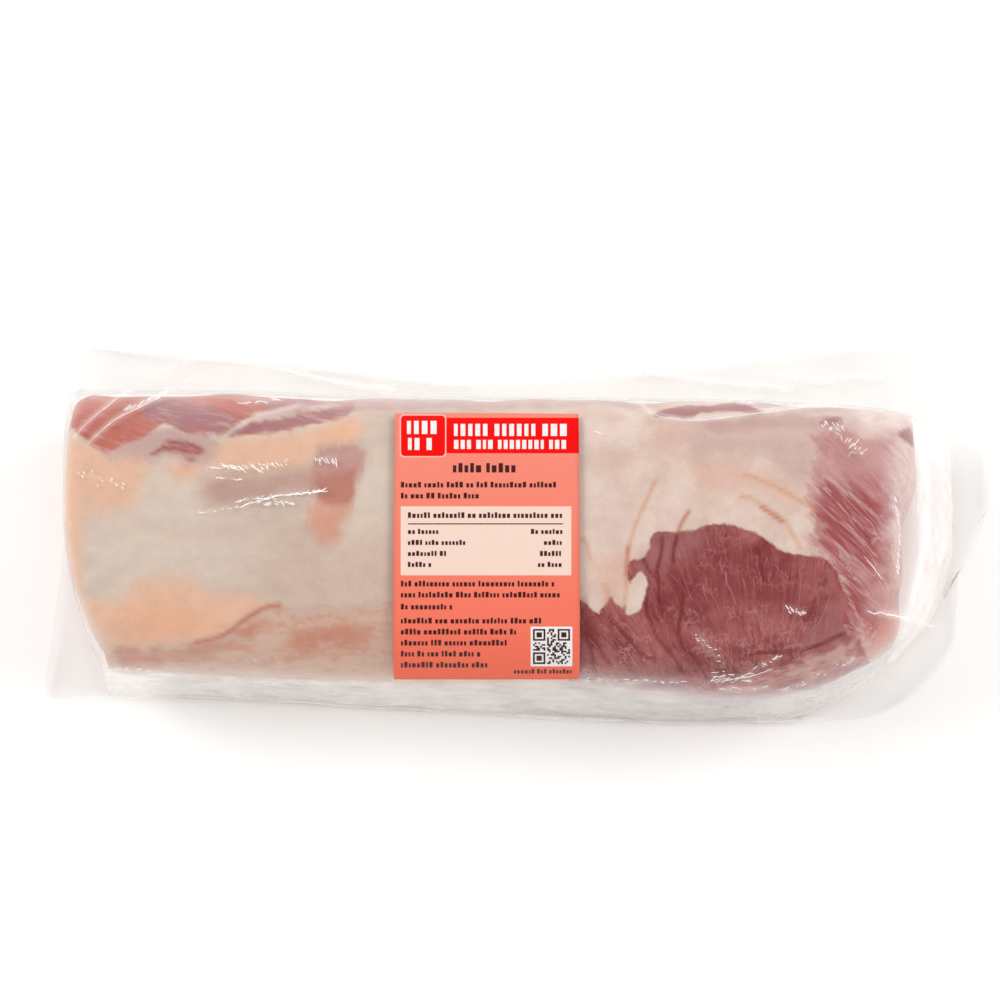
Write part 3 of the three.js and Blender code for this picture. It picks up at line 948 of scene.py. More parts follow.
def make_loin():
    bm = divided_cube()
    shares = places_of(bm)
    places, down = loin_places(shares)
    move_to(bm, places)
    near_edge = np.abs(shares[:, :2]) > CORNER_SHARES
    upright = near_edge.all(axis=1)
    bm.verts.ensure_lookup_table()
    corners = [bm.verts[i] for i in np.flatnonzero(upright)]
    smooth_out(bm, corners, CORNER_SMOOTHING)
    places = places_of(bm)
    px, py = photo_chart(shares, down)
    depths = {name: depth_inside(px, py, outlines) for name, outlines in REGIONS.items()}
    under = smoothstep(down, *UNDERSIDE)
    # the creases are sunk in the relief and darkened in the colour as painted shade
    groove_and_shade = ridges(px, py, SHADED_CREASES, CREASE_WIDTH)
    relief = loin_relief(places, px, py, depths, groove_and_shade) * (1 - under)
    places = places + normals_of(bm) * relief[:, None]
    places[:, 2] = np.maximum(places[:, 2], LOIN_FLOOR)
    move_to(bm, places)
    piece = finish_mesh(bm, "loin")
    for name, depth in depths.items():
        write_attribute(piece, name, depth)
    cut = np.where(np.abs(shares[:, 0]) > AT_EDGE, np.minimum(down, DEEPEST_CUT), 0.0)
    write_attribute(piece, "cut_left", np.where(shares[:, 0] < 0, cut, 0.0))
    write_attribute(piece, "cut_right", np.where(shares[:, 0] > 0, cut, 0.0))
    write_attribute(piece, "groove_and_shade", groove_and_shade)
    write_attribute(piece, "veins", ridges(px, py, TAN_VEINS, VEIN_WIDTH))
    write_attribute(piece, "seams", ridges(px, py, RED_SEAMS, VEIN_WIDTH))
    write_attribute(piece, "along_top", (px - FRAME_PIXELS / 2) * PIXEL)
    write_attribute(piece, "fan", fan_across(px, py))
    write_attribute(piece, "fan_down", py * PIXEL)
    return piece


# Node materials

# How light a white surface looks, and how much gloss and film add, on the meat and on the label
MEAT_LIGHT = {"brightness": 1.17, "veil": 0.05}
LABEL_LIGHT = {"brightness": 1.4, "veil": 0.01}
DARKEST = 0.004


def linear(red, green, blue):
    """A colour given in the 0 to 255 values of a picture, as a shader's linear colour."""
    values = []
    for value in (red, green, blue):
        share = value / 255
        values.append(share / 12.92 if share <= 0.04045 else ((share + 0.055) / 1.055) ** 2.4)
    return (*values, 1.0)


def own_colour(red, green, blue, brightness, veil):
    """A surface's own colour, from how it looks in the stage's light."""
    looks = linear(red, green, blue)
    own = [min(max((value - veil) / brightness, DARKEST), 1.0) for value in looks[:3]]
    return (*own, 1.0)


def printed(red, green, blue):
    """A colour of the label, which lies on the film."""
    return own_colour(red, green, blue, **LABEL_LIGHT)


class Shading:
    """Short names for the nodes of one material."""

    def __init__(self, name):
        self.material = bpy.data.materials.new(name)
        self.material.use_nodes = True
        self.tree = self.material.node_tree
        self.tree.nodes.clear()
        self.output = self.tree.nodes.new("ShaderNodeOutputMaterial")
        self.coordinates = None
        self.made = {}

    def put(self, socket, value):
        if isinstance(value, bpy.types.NodeSocket):
            self.tree.links.new(value, socket)
        elif value is not None:
            socket.default_value = value

    def node(self, kind, **settings):
        made = self.tree.nodes.new("ShaderNode" + kind)
        for key, value in settings.items():
            setattr(made, key, value)
        return made

    def object_place(self):
        if self.coordinates is None:
            self.coordinates = self.node("TexCoord").outputs["Object"]
        return self.coordinates

    def attribute(self, name):
        return self.node("Attribute", attribute_name=name).outputs["Fac"]

    def math(self, operation, a, b=None, c=None):
        made = self.node("Math", operation=operation)
        for socket, value in zip(made.inputs, (a, b, c)):
            self.put(socket, value)
        return made.outputs[0]

    def times(self, a, b):
        return self.math("MULTIPLY", a, b)

    def off_middle(self, value):
        """How far a noise is from its middle value."""
        return self.math("ABSOLUTE", self.math("SUBTRACT", value, 0.5))

    def range(self, value, low, high, to_low=0.0, to_high=1.0, smooth=True):
        kind = "SMOOTHSTEP" if smooth else "LINEAR"
        made = self.node("MapRange", interpolation_type=kind)
        for socket, number in zip(made.inputs, (value, low, high, to_low, to_high)):
            self.put(socket, number)
        return made.outputs[0]

    def noise(self, size, detail=3.0, roughness=0.55, vector=None, twist=0.0):
        """Noise with features of about that size in millimetres."""
        vector = vector or self.object_place()
        key = (size, detail, roughness, vector.node.name, twist)
        if key in self.made:
            return self.made[key]
        made = self.node("TexNoise", noise_dimensions="3D")
        self.put(made.inputs["Vector"], vector)
        self.put(made.inputs["Scale"], 1.0 / (size * TO_METRES))
        self.put(made.inputs["Detail"], detail)
        self.put(made.inputs["Roughness"], roughness)
        self.put(made.inputs["Distortion"], twist)
        self.made[key] = made.outputs["Fac"]
        return self.made[key]

    def stretched(self, times, turn=0.0):
        """Object coordinates in which a pattern comes out longer along a direction in plan."""
        if (times, turn) in self.made:
            return self.made[times, turn]
        made = self.node("Mapping", vector_type="TEXTURE")
        self.put(made.inputs["Vector"], self.object_place())
        made.inputs["Rotation"].default_value = (0, 0, math.radians(turn))
        made.inputs["Scale"].default_value = (times, 1, 1)
        self.made[times, turn] = made.outputs["Vector"]
        return made.outputs["Vector"]

    def combine(self, x, y, z=0.0):
        made = self.node("CombineXYZ")
        for socket, value in zip(made.inputs, (x, y, z)):
            self.put(socket, value)
        return made.outputs[0]

    def mix(self, share, a, b, blend="MIX"):
        made = self.node("Mix", data_type="RGBA", blend_type=blend)
        self.put(made.inputs["Factor"], share)
        self.put(made.inputs["A"], a)
        self.put(made.inputs["B"], b)
        return made.outputs["Result"]

    def bump(self, height, distance, strength=1.0, normal=None):
        made = self.node("Bump")
        made.inputs["Distance"].default_value = distance * TO_METRES
        made.inputs["Strength"].default_value = strength
        self.put(made.inputs["Height"], height)
        self.put(made.inputs["Normal"], normal)
        return made.outputs[0]

    def principled(self, **sockets):
        made = self.node("BsdfPrincipled")
        for key, value in sockets.items():
            self.put(made.inputs[key.replace("_", " ")], value)
        return made.outputs[0]

    def varied(self, low, high, size, detail, roughness, smooth=True):
        """A value that varies between two values, in patches of about that size."""
        return self.range(self.noise(size, detail, roughness), 0.3, 0.7, low, high, smooth)

    def shaded(self, colour, shade):
        """A colour made darker or lighter."""
        return self.mix(1.0, colour, self.combine(shade, shade, shade), blend="MULTIPLY")

    def less(self, mask, *others):
        """A mask without the places of other masks."""
        for other in others:
            mask = self.times(mask, self.math("SUBTRACT", 1.0, other))
        return mask

    def facing(self, blend, normal=None):
        """How much a surface turns away from the eye."""
        made = self.node("LayerWeight")
        made.inputs["Blend"].default_value = blend
        self.put(made.inputs["Normal"], normal)
        return made.outputs["Facing"]

    def glossy(self, roughness, normal):
        made = self.node("BsdfGlossy")
        made.inputs["Roughness"].default_value = roughness
        self.put(made.inputs["Normal"], normal)
        return made.outputs[0]

    def clear(self):
        return self.node("BsdfTransparent").outputs[0]

    def mix_shaders(self, share, first, second):
        made = self.node("MixShader")
        for socket, value in zip(made.inputs, (share, first, second)):
            self.put(socket, value)
        return made.outputs[0]

    def finish(self, shader):
        self.tree.links.new(shader, self.output.inputs["Surface"])
        return self.material


# Finishes

CREAM_FROM = 2.0  # millimetres right of the picture's middle, under the label
CREAM_TO = 12.0
FROSTY_FROM = 575.0  # pixel rows between which the bare muscle grows paler
FROSTY_TO = 680.0
END_FIBRE_TURN = -43.0  # degrees from the loin's length
FINE_WANDER = 2.3  # the size of the finest unevenness of a layer's edge, in millimetres


def streaked_colours(sh, colours):
    """The colours of the layers in which streaks of another colour run."""
    streaks = sh.noise(2.0, 4.0, 0.65, vector=sh.stretched(5.0, -22.0))
    back = sh.mix(sh.range(streaks, 0.5, 0.3, 0.0, 0.5), colours.back_red, colours.back_deep)
    back = sh.mix(sh.range(streaks, 0.54, 0.74, 0.0, 0.6), back, colours.fold)
    grey = sh.mix(sh.range(streaks, 0.5, 0.7, 0.0, 0.75), colours.back_purple, colours.fold)
    tongue = sh.mix(sh.range(streaks, 0.46, 0.66, 0.0, 0.7), colours.back_deep, colours.bruise_top)
    scraps = sh.range(sh.noise(4.0, 5.0, 0.7, vector=sh.stretched(2.5, 20.0)), 0.62, 0.4)
    frost = sh.mix(scraps, colours.far_muscle, colours.frost)
    slanted = sh.noise(3.0, 4.0, 0.65, vector=sh.stretched(4.0, END_FIBRE_TURN))
    rim = sh.mix(sh.range(slanted, 0.46, 0.64, 0.0, 0.5), colours.pale_end_and_sheen, colours.far_light)
    band = sh.noise(3.4, 5.0, 0.7, vector=sh.stretched(1.8, 3.0))
    lower = sh.mix(sh.range(band, 0.48, 0.68, 0.0, 0.6), colours.lower, colours.lower_red)
    lower = sh.mix(sh.range(band, 0.48, 0.3, 0.0, 0.5), lower, colours.membrane_pink)
    core = sh.mix(sh.range(band, 0.52, 0.34, 0.0, 0.5), colours.lower_red, colours.lower)
    return back, grey, tongue, frost, rim, lower, core


def loin_layers(sh, colours):
    """The loin's layers, in the order in which they cover each other.

    Each is (attribute, softness of its edge, how ragged it is, strength, way of its grain, colour).
    """
    back, grey, tongue, frost, rim, lower, core = streaked_colours(sh, colours)
    return [
        ("light", 9.0, 6.0, 0.8, 0, colours.membrane_light),
        ("blush", 14.0, 8.0, 0.8, 0, colours.membrane_pink),
        ("peach", 4.0, 6.0, 0.95, 8, colours.peach),
        ("orange", 5.0, 6.0, 0.6, 8, colours.orange),
        ("fold", 1.6, 3.0, 0.9, 12, colours.fold),
        ("spots", 2.6, 3.0, 0.7, None, colours.spots),
        ("stripe", 4.4, 4.5, 0.9, 4, colours.stripe),
        ("bruise", 2.2, 5.0, 0.95, 85, colours.bruise),
        ("bruise_top", 4.0, 6.0, 0.85, 85, colours.bruise_top),
        ("salmon", 3.0, 6.0, 0.95, 85, colours.salmon),
        ("lower", 2.4, 6.0, 0.95, 4, lower),
        ("lower_red", 4.0, 8.0, 0.95, 4, core),
        ("pink", 5.0, 7.0, 0.8, 60, colours.pink_cream),
        ("mauve", 4.5, 6.0, 0.9, -10, colours.mauve),
        ("faded", 1.4, 4.0, 0.9, 2, colours.faded),
        ("under_back", 3.0, 6.0, 0.85, -20, colours.fold),
        ("back_muscle", 1.2, 5.0, 0.97, -20, back),
        ("back_grey", 1.8, 6.0, 0.9, -22, grey),
        ("far_muscle", 3.2, 13.0, 0.97, END_FIBRE_TURN, colours.far_muscle),
        ("far_pink", 5.0, 9.0, 0.75, END_FIBRE_TURN, colours.far_light),
        ("pale_end_and_sheen", 5.0, 8.0, 0.8, END_FIBRE_TURN, rim),
        ("slit", 0.8, 3.0, 0.97, -15, colours.slit),
        ("tongue", 1.3, 3.4, 0.95, -20, tongue),
        ("slit_line", 0.5, 0.8, 0.9, 2, colours.back_deep),
        ("dark_muscle", 0.7, 2.6, 1.0, None, colours.dark_muscle),
        ("salmon_end", 3.4, 8.0, 0.92, 50, colours.salmon_end),
        ("frost", 2.0, 7.0, 0.85, 20, frost),
    ]


def wandering(sh, value, reach, size=9.0, turn=None):
    """A distance that wanders by up to about half the reach, so that an edge isn't even."""
    along_grain = None if turn is None else sh.stretched(3.5, turn)
    wander = sh.math("SUBTRACT", sh.noise(size, 4.0, 0.6, vector=along_grain), 0.5)
    return sh.math("MULTIPLY_ADD", wander, reach, value)


def layered(sh, colour, layers):
    """Lays each layer over the colour, and returns it and each layer's mask."""
    masks = {}
    for name, edge, ragged, strength, turn, layer in layers:
        depth = wandering(sh, sh.attribute(name), ragged)
        depth = wandering(sh, depth, ragged * 0.8, FINE_WANDER, turn)
        masks[name] = sh.range(depth, -edge, edge, 0.0, strength)
        colour = sh.mix(masks[name], colour, layer)
    return colour, masks


def fan_noise(sh, across_size, along_size, detail=4.0):
    """Streaks that run with the fibres of the dark muscle."""
    fan = sh.times(wandering(sh, sh.attribute("fan"), 3.0, 16.0), 1.0 / across_size)
    down = sh.times(sh.attribute("fan_down"), 1.0 / along_size)
    made = sh.node("TexNoise", noise_dimensions="3D")
    sh.put(made.inputs["Vector"], sh.combine(fan, down))
    made.inputs["Scale"].default_value = 1.0
    made.inputs["Detail"].default_value = detail
    made.inputs["Roughness"].default_value = 0.6
    return made.outputs["Fac"]


def scribble(sh, size, width, vector=None):
    """Thin wavering lines, where a noise crosses its middle value."""
    away = sh.off_middle(sh.noise(size, 3.0, 0.6, vector, twist=0.8))
    return sh.range(away, 0.0, width, 1.0, 0.0)


def dark_tones(sh, colours, streaks):
    """The bare muscle's colour: soft patches, faint fibres and pale marbling."""
    patches = sh.noise(13.0, 4.0, 0.6)
    tone = sh.mix(sh.range(patches, 0.36, 0.64), colours.muscle_deep, colours.muscle_light)
    core = sh.range(wandering(sh, sh.attribute("core"), 9.0), -5.0, 5.0, 0.0, 0.75)
    tone = sh.mix(core, tone, colours.muscle_deep)
    tone = sh.mix(sh.range(streaks, 0.5, 0.68, 0.0, 0.5), tone, colours.muscle_light)
    tone = sh.mix(sh.range(streaks, 0.48, 0.32, 0.0, 0.6), tone, colours.muscle_deep)
    low = sh.range(sh.attribute("fan_down"), FROSTY_FROM * PIXEL, FROSTY_TO * PIXEL)
    clouds = sh.range(sh.noise(5.0, 5.0, 0.7), 0.46, 0.7, 0.0, 0.4)
    tone = sh.mix(sh.times(clouds, sh.range(low, 0, 1, 0.3, 1.0)), tone, colours.muscle_light)
    away = sh.off_middle(fan_noise(sh, 3.2, 13.0, 2.0))
    lines = sh.math("MAXIMUM", scribble(sh, 7.0, 0.035), sh.range(away, 0.0, 0.03, 1.0, 0.0))
    lines = sh.times(lines, sh.range(sh.noise(9.0, 3.0, 0.6), 0.4, 0.58))
    lines = sh.times(lines, sh.range(low, 0, 1, 0.3, 0.7))
    return sh.mix(lines, tone, colours.fibre)


def far_tones(sh, colours):
    """The end muscle's slanted fibres."""
    slanted = sh.stretched(7.0, END_FIBRE_TURN)
    fine = sh.noise(1.8, 4.0, 0.6, vector=slanted, twist=0.3)
    broad = sh.noise(9.0, 4.0, 0.6, vector=sh.stretched(4.0, END_FIBRE_TURN))
    tone = sh.mix(sh.range(broad, 0.4, 0.6), colours.far_muscle, colours.far_light)
    deep = wandering(sh, sh.attribute("far_deep"), 10.0, 3.0, END_FIBRE_TURN)
    tone = sh.mix(sh.range(deep, -3.0, 3.0, 0.0, 0.85), tone, colours.far_deep)
    tone = sh.mix(sh.range(fine, 0.46, 0.72, 0.0, 0.6), tone, colours.far_light)
    tone = sh.mix(sh.range(fine, 0.44, 0.28, 0.0, 0.5), tone, colours.far_deep)
    lines = scribble(sh, 5.0, 0.04, sh.stretched(6.0, END_FIBRE_TURN - 5))
    return sh.mix(sh.times(lines, 0.45), tone, colours.pale_end_and_sheen)


def cut_ends(sh):
    """The bare cut muscle of both ends, under a rim of fat."""
    left = sh.range(wandering(sh, sh.attribute("cut_left"), 8.0), 7.0, 9.0)
    right = sh.range(wandering(sh, sh.attribute("cut_right"), 10.0), 11.0, 16.0)
    return sh.math("MAXIMUM", left, right)


def cut_tones(sh, colours):
    tone = sh.mix(sh.range(sh.noise(9.0, 4.0, 0.6), 0.38, 0.62), colours.cut, colours.cut_light)
    grain = scribble(sh, 8.0, 0.03)
    return sh.mix(sh.times(grain, 0.4), tone, colours.pale_end_and_sheen)


def ground_tones(sh, colours):
    """Grey-white membrane on the left and cream fat on the right."""
    blotch = sh.noise(24.0, 4.0, 0.55, vector=sh.stretched(2.0))
    membrane = sh.mix(sh.range(blotch, 0.38, 0.62), colours.membrane_light, colours.membrane_grey)
    wisps = sh.noise(4.5, 4.0, 0.6, vector=sh.stretched(5.0, 4.0))
    membrane = sh.mix(sh.range(wisps, 0.4, 0.64, 0.0, 0.55), membrane, colours.membrane)
    cream_share = sh.range(sh.attribute("along_top"), CREAM_FROM, CREAM_TO)
    cream = sh.mix(sh.range(sh.noise(14.0, 4.0, 0.6), 0.38, 0.66), colours.cream, colours.cream_deep)
    return sh.mix(cream_share, membrane, cream)


def muscle_tones(sh, colours, colour, masks, streaks):
    """Lays the bare muscles, the cut ends and the fine lines, with painted shade in the creases, over a
    colour.
    """
    bare = sh.less(masks["dark_muscle"], masks["frost"])
    veil = wandering(sh, sh.attribute("veil"), 8.0, 2.4, 70)
    veil = sh.times(sh.range(veil, -4.0, 4.0, 0.0, 0.65), bare)
    colour = sh.mix(sh.times(bare, 0.95), colour, dark_tones(sh, colours, streaks))
    colour = sh.mix(veil, colour, sh.mix(0.5, colours.back_purple, colours.muscle_light))
    end = sh.less(masks["far_muscle"], masks["pale_end_and_sheen"], masks["dark_muscle"], masks["far_pink"])
    colour = sh.mix(sh.times(end, 0.75), colour, far_tones(sh, colours))
    colour = sh.mix(cut_ends(sh), colour, cut_tones(sh, colours))
    # painted shade: the crease colour darkens the grooves of the bare muscle
    groove_and_shade = sh.times(sh.attribute("groove_and_shade"), bare)
    lines = [
        (groove_and_shade, 0.8, colours.crease_shade),
        (sh.attribute("veins"), 0.6, colours.vein),
        (sh.attribute("seams"), 0.8, colours.seam),
    ]
    for mask, strength, line_colour in lines:
        colour = sh.mix(sh.times(mask, strength), colour, line_colour)
    return colour


def loin_material(colours):
    sh = Shading("raw_pork")
    colour, masks = layered(sh, ground_tones(sh, colours), loin_layers(sh, colours))
    streaks = fan_noise(sh, 1.9, 16.0)
    colour = muscle_tones(sh, colours, colour, masks, streaks)
    fine = sh.noise(1.3, 2.0, 0.6)
    grain = sh.range(fine, 0.3, 0.72, 0.98, 1.02)
    mottle = sh.varied(0.965, 1.035, 6.0, 4.0, 0.6)
    fibrous = sh.range(sh.attribute("dark_muscle"), 0, 2, 0, 0.4)
    height = sh.math("MULTIPLY_ADD", streaks, fibrous, fine)
    shader = sh.principled(
        Base_Color=sh.shaded(colour, sh.times(grain, mottle)),
        Roughness=sh.varied(0.28, 0.48, 5.0, 3.0, 0.6),
        Specular_IOR_Level=0.3,
        Subsurface_Weight=0.12,
        Subsurface_Scale=0.003,
        Coat_Weight=0.12,
        Coat_Roughness=0.16,
        Normal=sh.bump(height, 0.3, 0.4),
    )
    return sh.finish(shader)


def strand_material(name, colour, other, roughness):
    sh = Shading(name)
    shader = sh.principled(
        Base_Color=sh.mix(sh.range(sh.noise(3.0, 3.0, 0.6), 0.35, 0.68), colour, other),
        Roughness=sh.varied(roughness - 0.06, roughness + 0.08, 2.0, 2.0, 0.5),
        Coat_Weight=0.25,
        Coat_Roughness=0.2,
        Normal=sh.bump(sh.noise(0.8, 2.0, 0.5), 0.08, 0.5),
    )
    return sh.finish(shader)


# The film bag

FILM_ALONG = [
    ("margin", 22), ("wall", 16), ("shoulder", 14), ("body", 186),
    ("far_shoulder", 18), ("far_wall", 30), ("far_margin", 30),
]
FILM_ACROSS = [
    ("margin", 14), ("wall", 26), ("shoulder", 30), ("body", 54),
    ("far_shoulder", 30), ("far_wall", 20), ("far_margin", 26),
]
FILM_GAP = 0.35  # the least room between film and meat
FILM_SMOOTHING = 16
LEAST_SLACK = 0.02  # film with less slack than this isn't smoothed
TAUT_CRINKLE = 0.12
FOLD_WIDTH = 0.9
FOLD_HEIGHT = 0.5
# the milk along the bright folds is partly real haze and partly a painted highlight
FOLD_HAZE_AND_SHEEN = 0.2
MARGIN_FOLD_WIDTH = 1.2
MARGIN_FOLD_HEIGHT = 0.8
MARGIN_FOLD_HAZE = 0.25
PAINTED_GLOW = 0.16  # painted glow: how much milkier the film is made round the rows of glints
PAINTED_GLOW_WIDTH = 1.0
PAINTED_GLOW_LUMPS = 1.6
TAUT_HAZE = 0.2  # the share of the slack film's haze that taut film has
UNDER_HAZE = 0.05
FRONT_HAZE = 0.13
# At the air pocket the milk is partly real haze and partly a painted highlight on the steep film
END_HAZE_AND_SHEEN = 0.1
EDGE_HAZE = 0.3  # how much milkier the film looks where it is seen edge on
FRONT_EDGE_HAZE = 0.45  # and how much more so in front and at the air pocket
END_EDGE_HAZE_AND_SHEEN = 0.45
BACK_CLEARER = 0.6  # the share of it that is missing at the back
HAZE_RISE = 2.2  # how much further in the front's milky edge starts, right of the label
HAZE_WAVER = 1.2
UNDER_FILM = 0.15  # the lower film's height over the table
SEAL = 0.25  # how far apart the two films are at the margins
RIM_STEPS = (0.0, 0.34, 0.67, 1.0)  # how far in the lower film goes, as shares of the margins


def film_steps(zones):
    steps = [(name, i / count) for name, count in zones for i in range(count)]
    return steps + [(zones[-1][0], 1.0)]


def film_place(step, near, far, near_side, far_side):
    """A place across the bag, where near and far are the film's and the meat's edges."""
    zone, share = step
    near_foot = np.maximum(near[1] - near_side["foot"], near[0] + MARGIN)
    near_wall = np.maximum(near[1], near_foot + MARGIN)
    far_foot = np.minimum(far[1] + far_side["foot"], far[0] - MARGIN)
    far_wall = np.minimum(far[1], far_foot - MARGIN)
    near_turn = near_side["radius"] * (1 - math.cos(math.pi / 2 * share))
    far_turn = far_side["radius"] * (1 - math.cos(math.pi / 2 * (1 - share)))
    inner = near_wall + near_side["radius"], far_wall - far_side["radius"]
    places = {
        "margin": lerp(near[0], near_foot, share),
        "wall": lerp(near_foot, near_wall, share),
        "shoulder": near_wall + near_turn,
        "body": lerp(inner[0], inner[1], share),
        "far_shoulder": far_wall - far_turn,
        "far_wall": lerp(far_wall, far_foot, share),
        "far_margin": lerp(far_foot, far[0], share),
    }
    return places[zone]


def film_kept(step, near_side, far_side, top):
    """The share of the full height that the film keeps at one step."""
    zone, share = step

    def rounded(radius, turn):
        return 1 - radius * (1 - math.sin(math.pi / 2 * turn)) / top

    kept = {
        "wall": rounded(near_side["radius"], 0) * share ** near_side["sag"],
        "shoulder": rounded(near_side["radius"], share),
        "body": top * 0 + 1,
        "far_shoulder": rounded(far_side["radius"], 1 - share),
        "far_wall": rounded(far_side["radius"], 0) * (1 - share) ** far_side["sag"],
    }
    return kept.get(zone, top * 0)


def film_surface():
    """The smooth upper film as arrays of x, y and z, and how slack it is, from 0 to 1."""
    columns = film_steps(FILM_ALONG)
    rows = film_steps(FILM_ACROSS)

    def ends(y):
        return (film_left(y), loin_left(y)), (film_right(y), loin_right(y))

    def sides(x):
        return (film_front(x), loin_front(x)), (film_back(x), loin_back(x))

    middle_x = [film_place(step, *ends(0.0), LEFT, RIGHT) for step in columns]
    middle_y = [film_place(step, *sides(0.0), FRONT, BACK) for step in rows]
    middle_x, middle_y = np.array(middle_x, float), np.array(middle_y, float)
    x = np.stack([film_place(step, *ends(middle_y), LEFT, RIGHT) for step in columns])
    y = np.stack([film_place(step, *sides(middle_x), FRONT, BACK) for step in rows], axis=1)
    top = top_height(x, y)
    along_kept = np.stack([film_kept(s, LEFT, RIGHT, top[i]) for i, s in enumerate(columns)])
    across_kept = np.stack([film_kept(s, FRONT, BACK, top[:, j]) for j, s in enumerate(rows)], axis=1)
    z = np.maximum(top * along_kept * across_kept, margin_height(x, y))
    slack = 1 - clamp01(along_kept * 1.5) * clamp01(across_kept * 1.5)
    return x, y, z, slack


def glint_flecks():
    """Painted highlights: short bright lines, side by side along the rows of glints."""
    draw = random.Random(GLINT_SEED)
    lines = []
    for row, stray, count, length, slope in GLINT_ROWS:
        path = smooth_line(row, closed=False, steps=12)
        total = round(count * GLINT_DENSITY)
        for k in range(total):
            at = int((k + draw.uniform(0, 0.9)) / total * len(path))
            px, py = path[at] + np.array([draw.gauss(0, 0.7), draw.gauss(0, stray)])
            run = length * draw.uniform(0.5, 1.5)
            turn = slope + draw.gauss(0, GLINT_TURN)
            right, down = run * math.cos(turn), run * math.sin(turn)
            bend = draw.uniform(-GLINT_BEND, GLINT_BEND)
            middle = (px + right / 2 + bend, py + down / 2 - bend)
            lines.append([(px, py), middle, (px + right, py + down)])
    return lines


def crinkle(places, size, seed):
    """Sharp low ridges, as a thin film makes, from 0 to 1."""
    return 1 - np.abs(lumps(places, size, seed)) * 2.2


def lift_clear(places, tree):
    """Keeps the film just above the meat that is under it."""
    down = Vector((0, 0, -1))
    for place in places:
        start = Vector((place[0], place[1], 200.0)) * TO_METRES
        meat = tree.ray_cast(start, down)[0]
        if meat is not None:
            place[2] = max(place[2], meat.z / TO_METRES + FILM_GAP)
    return places


def film_grid(x, y, z, slack, meat):
    """The upper film as a grid, with each corner's column and row in it."""
    count_x, count_y = x.shape
    bm = bmesh.new()
    bmesh.ops.create_grid(bm, x_segments=count_x - 1, y_segments=count_y - 1, size=1)
    bm.verts.ensure_lookup_table()
    at = places_of(bm)
    i = np.rint((at[:, 0] + 1) / 2 * (count_x - 1)).astype(int)
    j = np.rint((at[:, 1] + 1) / 2 * (count_y - 1)).astype(int)
    move_to(bm, lift_clear(np.stack([x[i, j], y[i, j], z[i, j]], axis=1), meat))
    inner = (i > 0) & (i < count_x - 1) & (j > 0) & (j < count_y - 1)
    loose = np.flatnonzero((slack[i, j] > LEAST_SLACK) & inner)
    smooth_out(bm, [bm.verts[k] for k in loose], FILM_SMOOTHING)
    return bm, i, j


def film_lift(places, slack, wrinkles, folds, margin_folds):
    """How far crinkles and folds lift the film: the taut film a little, the slack film more."""
    stretched = places * np.array([0.5, 1.0, 1.0])
    lift = wrinkles * slack * crinkle(stretched, 11.0, seed=4)
    lift += 0.45 * wrinkles * slack * crinkle(places, 5.0, seed=5)
    lift += TAUT_CRINKLE * crinkle(stretched, 7.0, seed=6) * (1 - slack)
    lift += FOLD_HEIGHT * folds + MARGIN_FOLD_HEIGHT * margin_folds * slack
    return lift


def film_hazes(places, px, py, haze):
    """How milky the film is, and how much milkier it looks where it is seen edge on."""
    # painted glow: milk round the rows of glints, where the highlights blur together
    painted_glow = ridges(px, py, [row[0] for row in GLINT_ROWS], PAINTED_GLOW_WIDTH)
    painted_glow *= clamp01(0.5 + lumps(places, PAINTED_GLOW_LUMPS, seed=7))
    front_wall, right_wall = film_stand_off(places)
    back_wall = smoothstep(places[:, 1] - loin_back(places[:, 0]), -4, 0)
    # part of the air pocket's milk is a painted highlight
    haze = haze + FRONT_HAZE * front_wall + END_HAZE_AND_SHEEN * right_wall + PAINTED_GLOW * painted_glow
    edge_haze = EDGE_HAZE * (1 - BACK_CLEARER * back_wall)
    edge_haze += FRONT_EDGE_HAZE * front_wall + END_EDGE_HAZE_AND_SHEEN * right_wall
    return clamp01(haze), edge_haze


def make_film(settings, meat):
    x, y, z, slack = film_surface()
    bm, i, j = film_grid(x, y, z, slack, meat)
    slack = slack[i, j]
    places = places_of(bm)
    px, py = pixel_of(places)
    flat = smoothstep(normals_of(bm)[:, 2], STEEPEST, 2 * STEEPEST)
    folds = ridges(px, py, BRIGHT_FOLDS + SOFT_FOLDS, FOLD_WIDTH) * flat
    margin_folds = ridges(px, py, MARGIN_FOLDS, MARGIN_FOLD_WIDTH) * flat
    lift = film_lift(places, slack, settings.wrinkles / TO_METRES, folds, margin_folds)
    places = lift_clear(places + normals_of(bm) * lift[:, None], meat)
    places[:, 2] = np.maximum(places[:, 2], UNDER_FILM + SEAL)
    move_to(bm, places)
    close_film_below(bm, i, j, x, y, np.maximum(z - SEAL, UNDER_FILM))
    piece = finish_mesh(bm, "bag_film")
    haze = settings.haze * lerp(TAUT_HAZE, 1.0, slack)
    # the folds are made milkier, partly as a painted highlight along them
    haze = haze + FOLD_HAZE_AND_SHEEN * folds + MARGIN_FOLD_HAZE * margin_folds
    haze, edge_haze = film_hazes(places, px, py, haze)
    below = np.zeros(len(piece.data.vertices) - len(haze))
    write_attribute(piece, "haze", np.concatenate([haze, below + UNDER_HAZE]))
    write_attribute(piece, "edge_haze", np.concatenate([edge_haze, below]))
    return piece


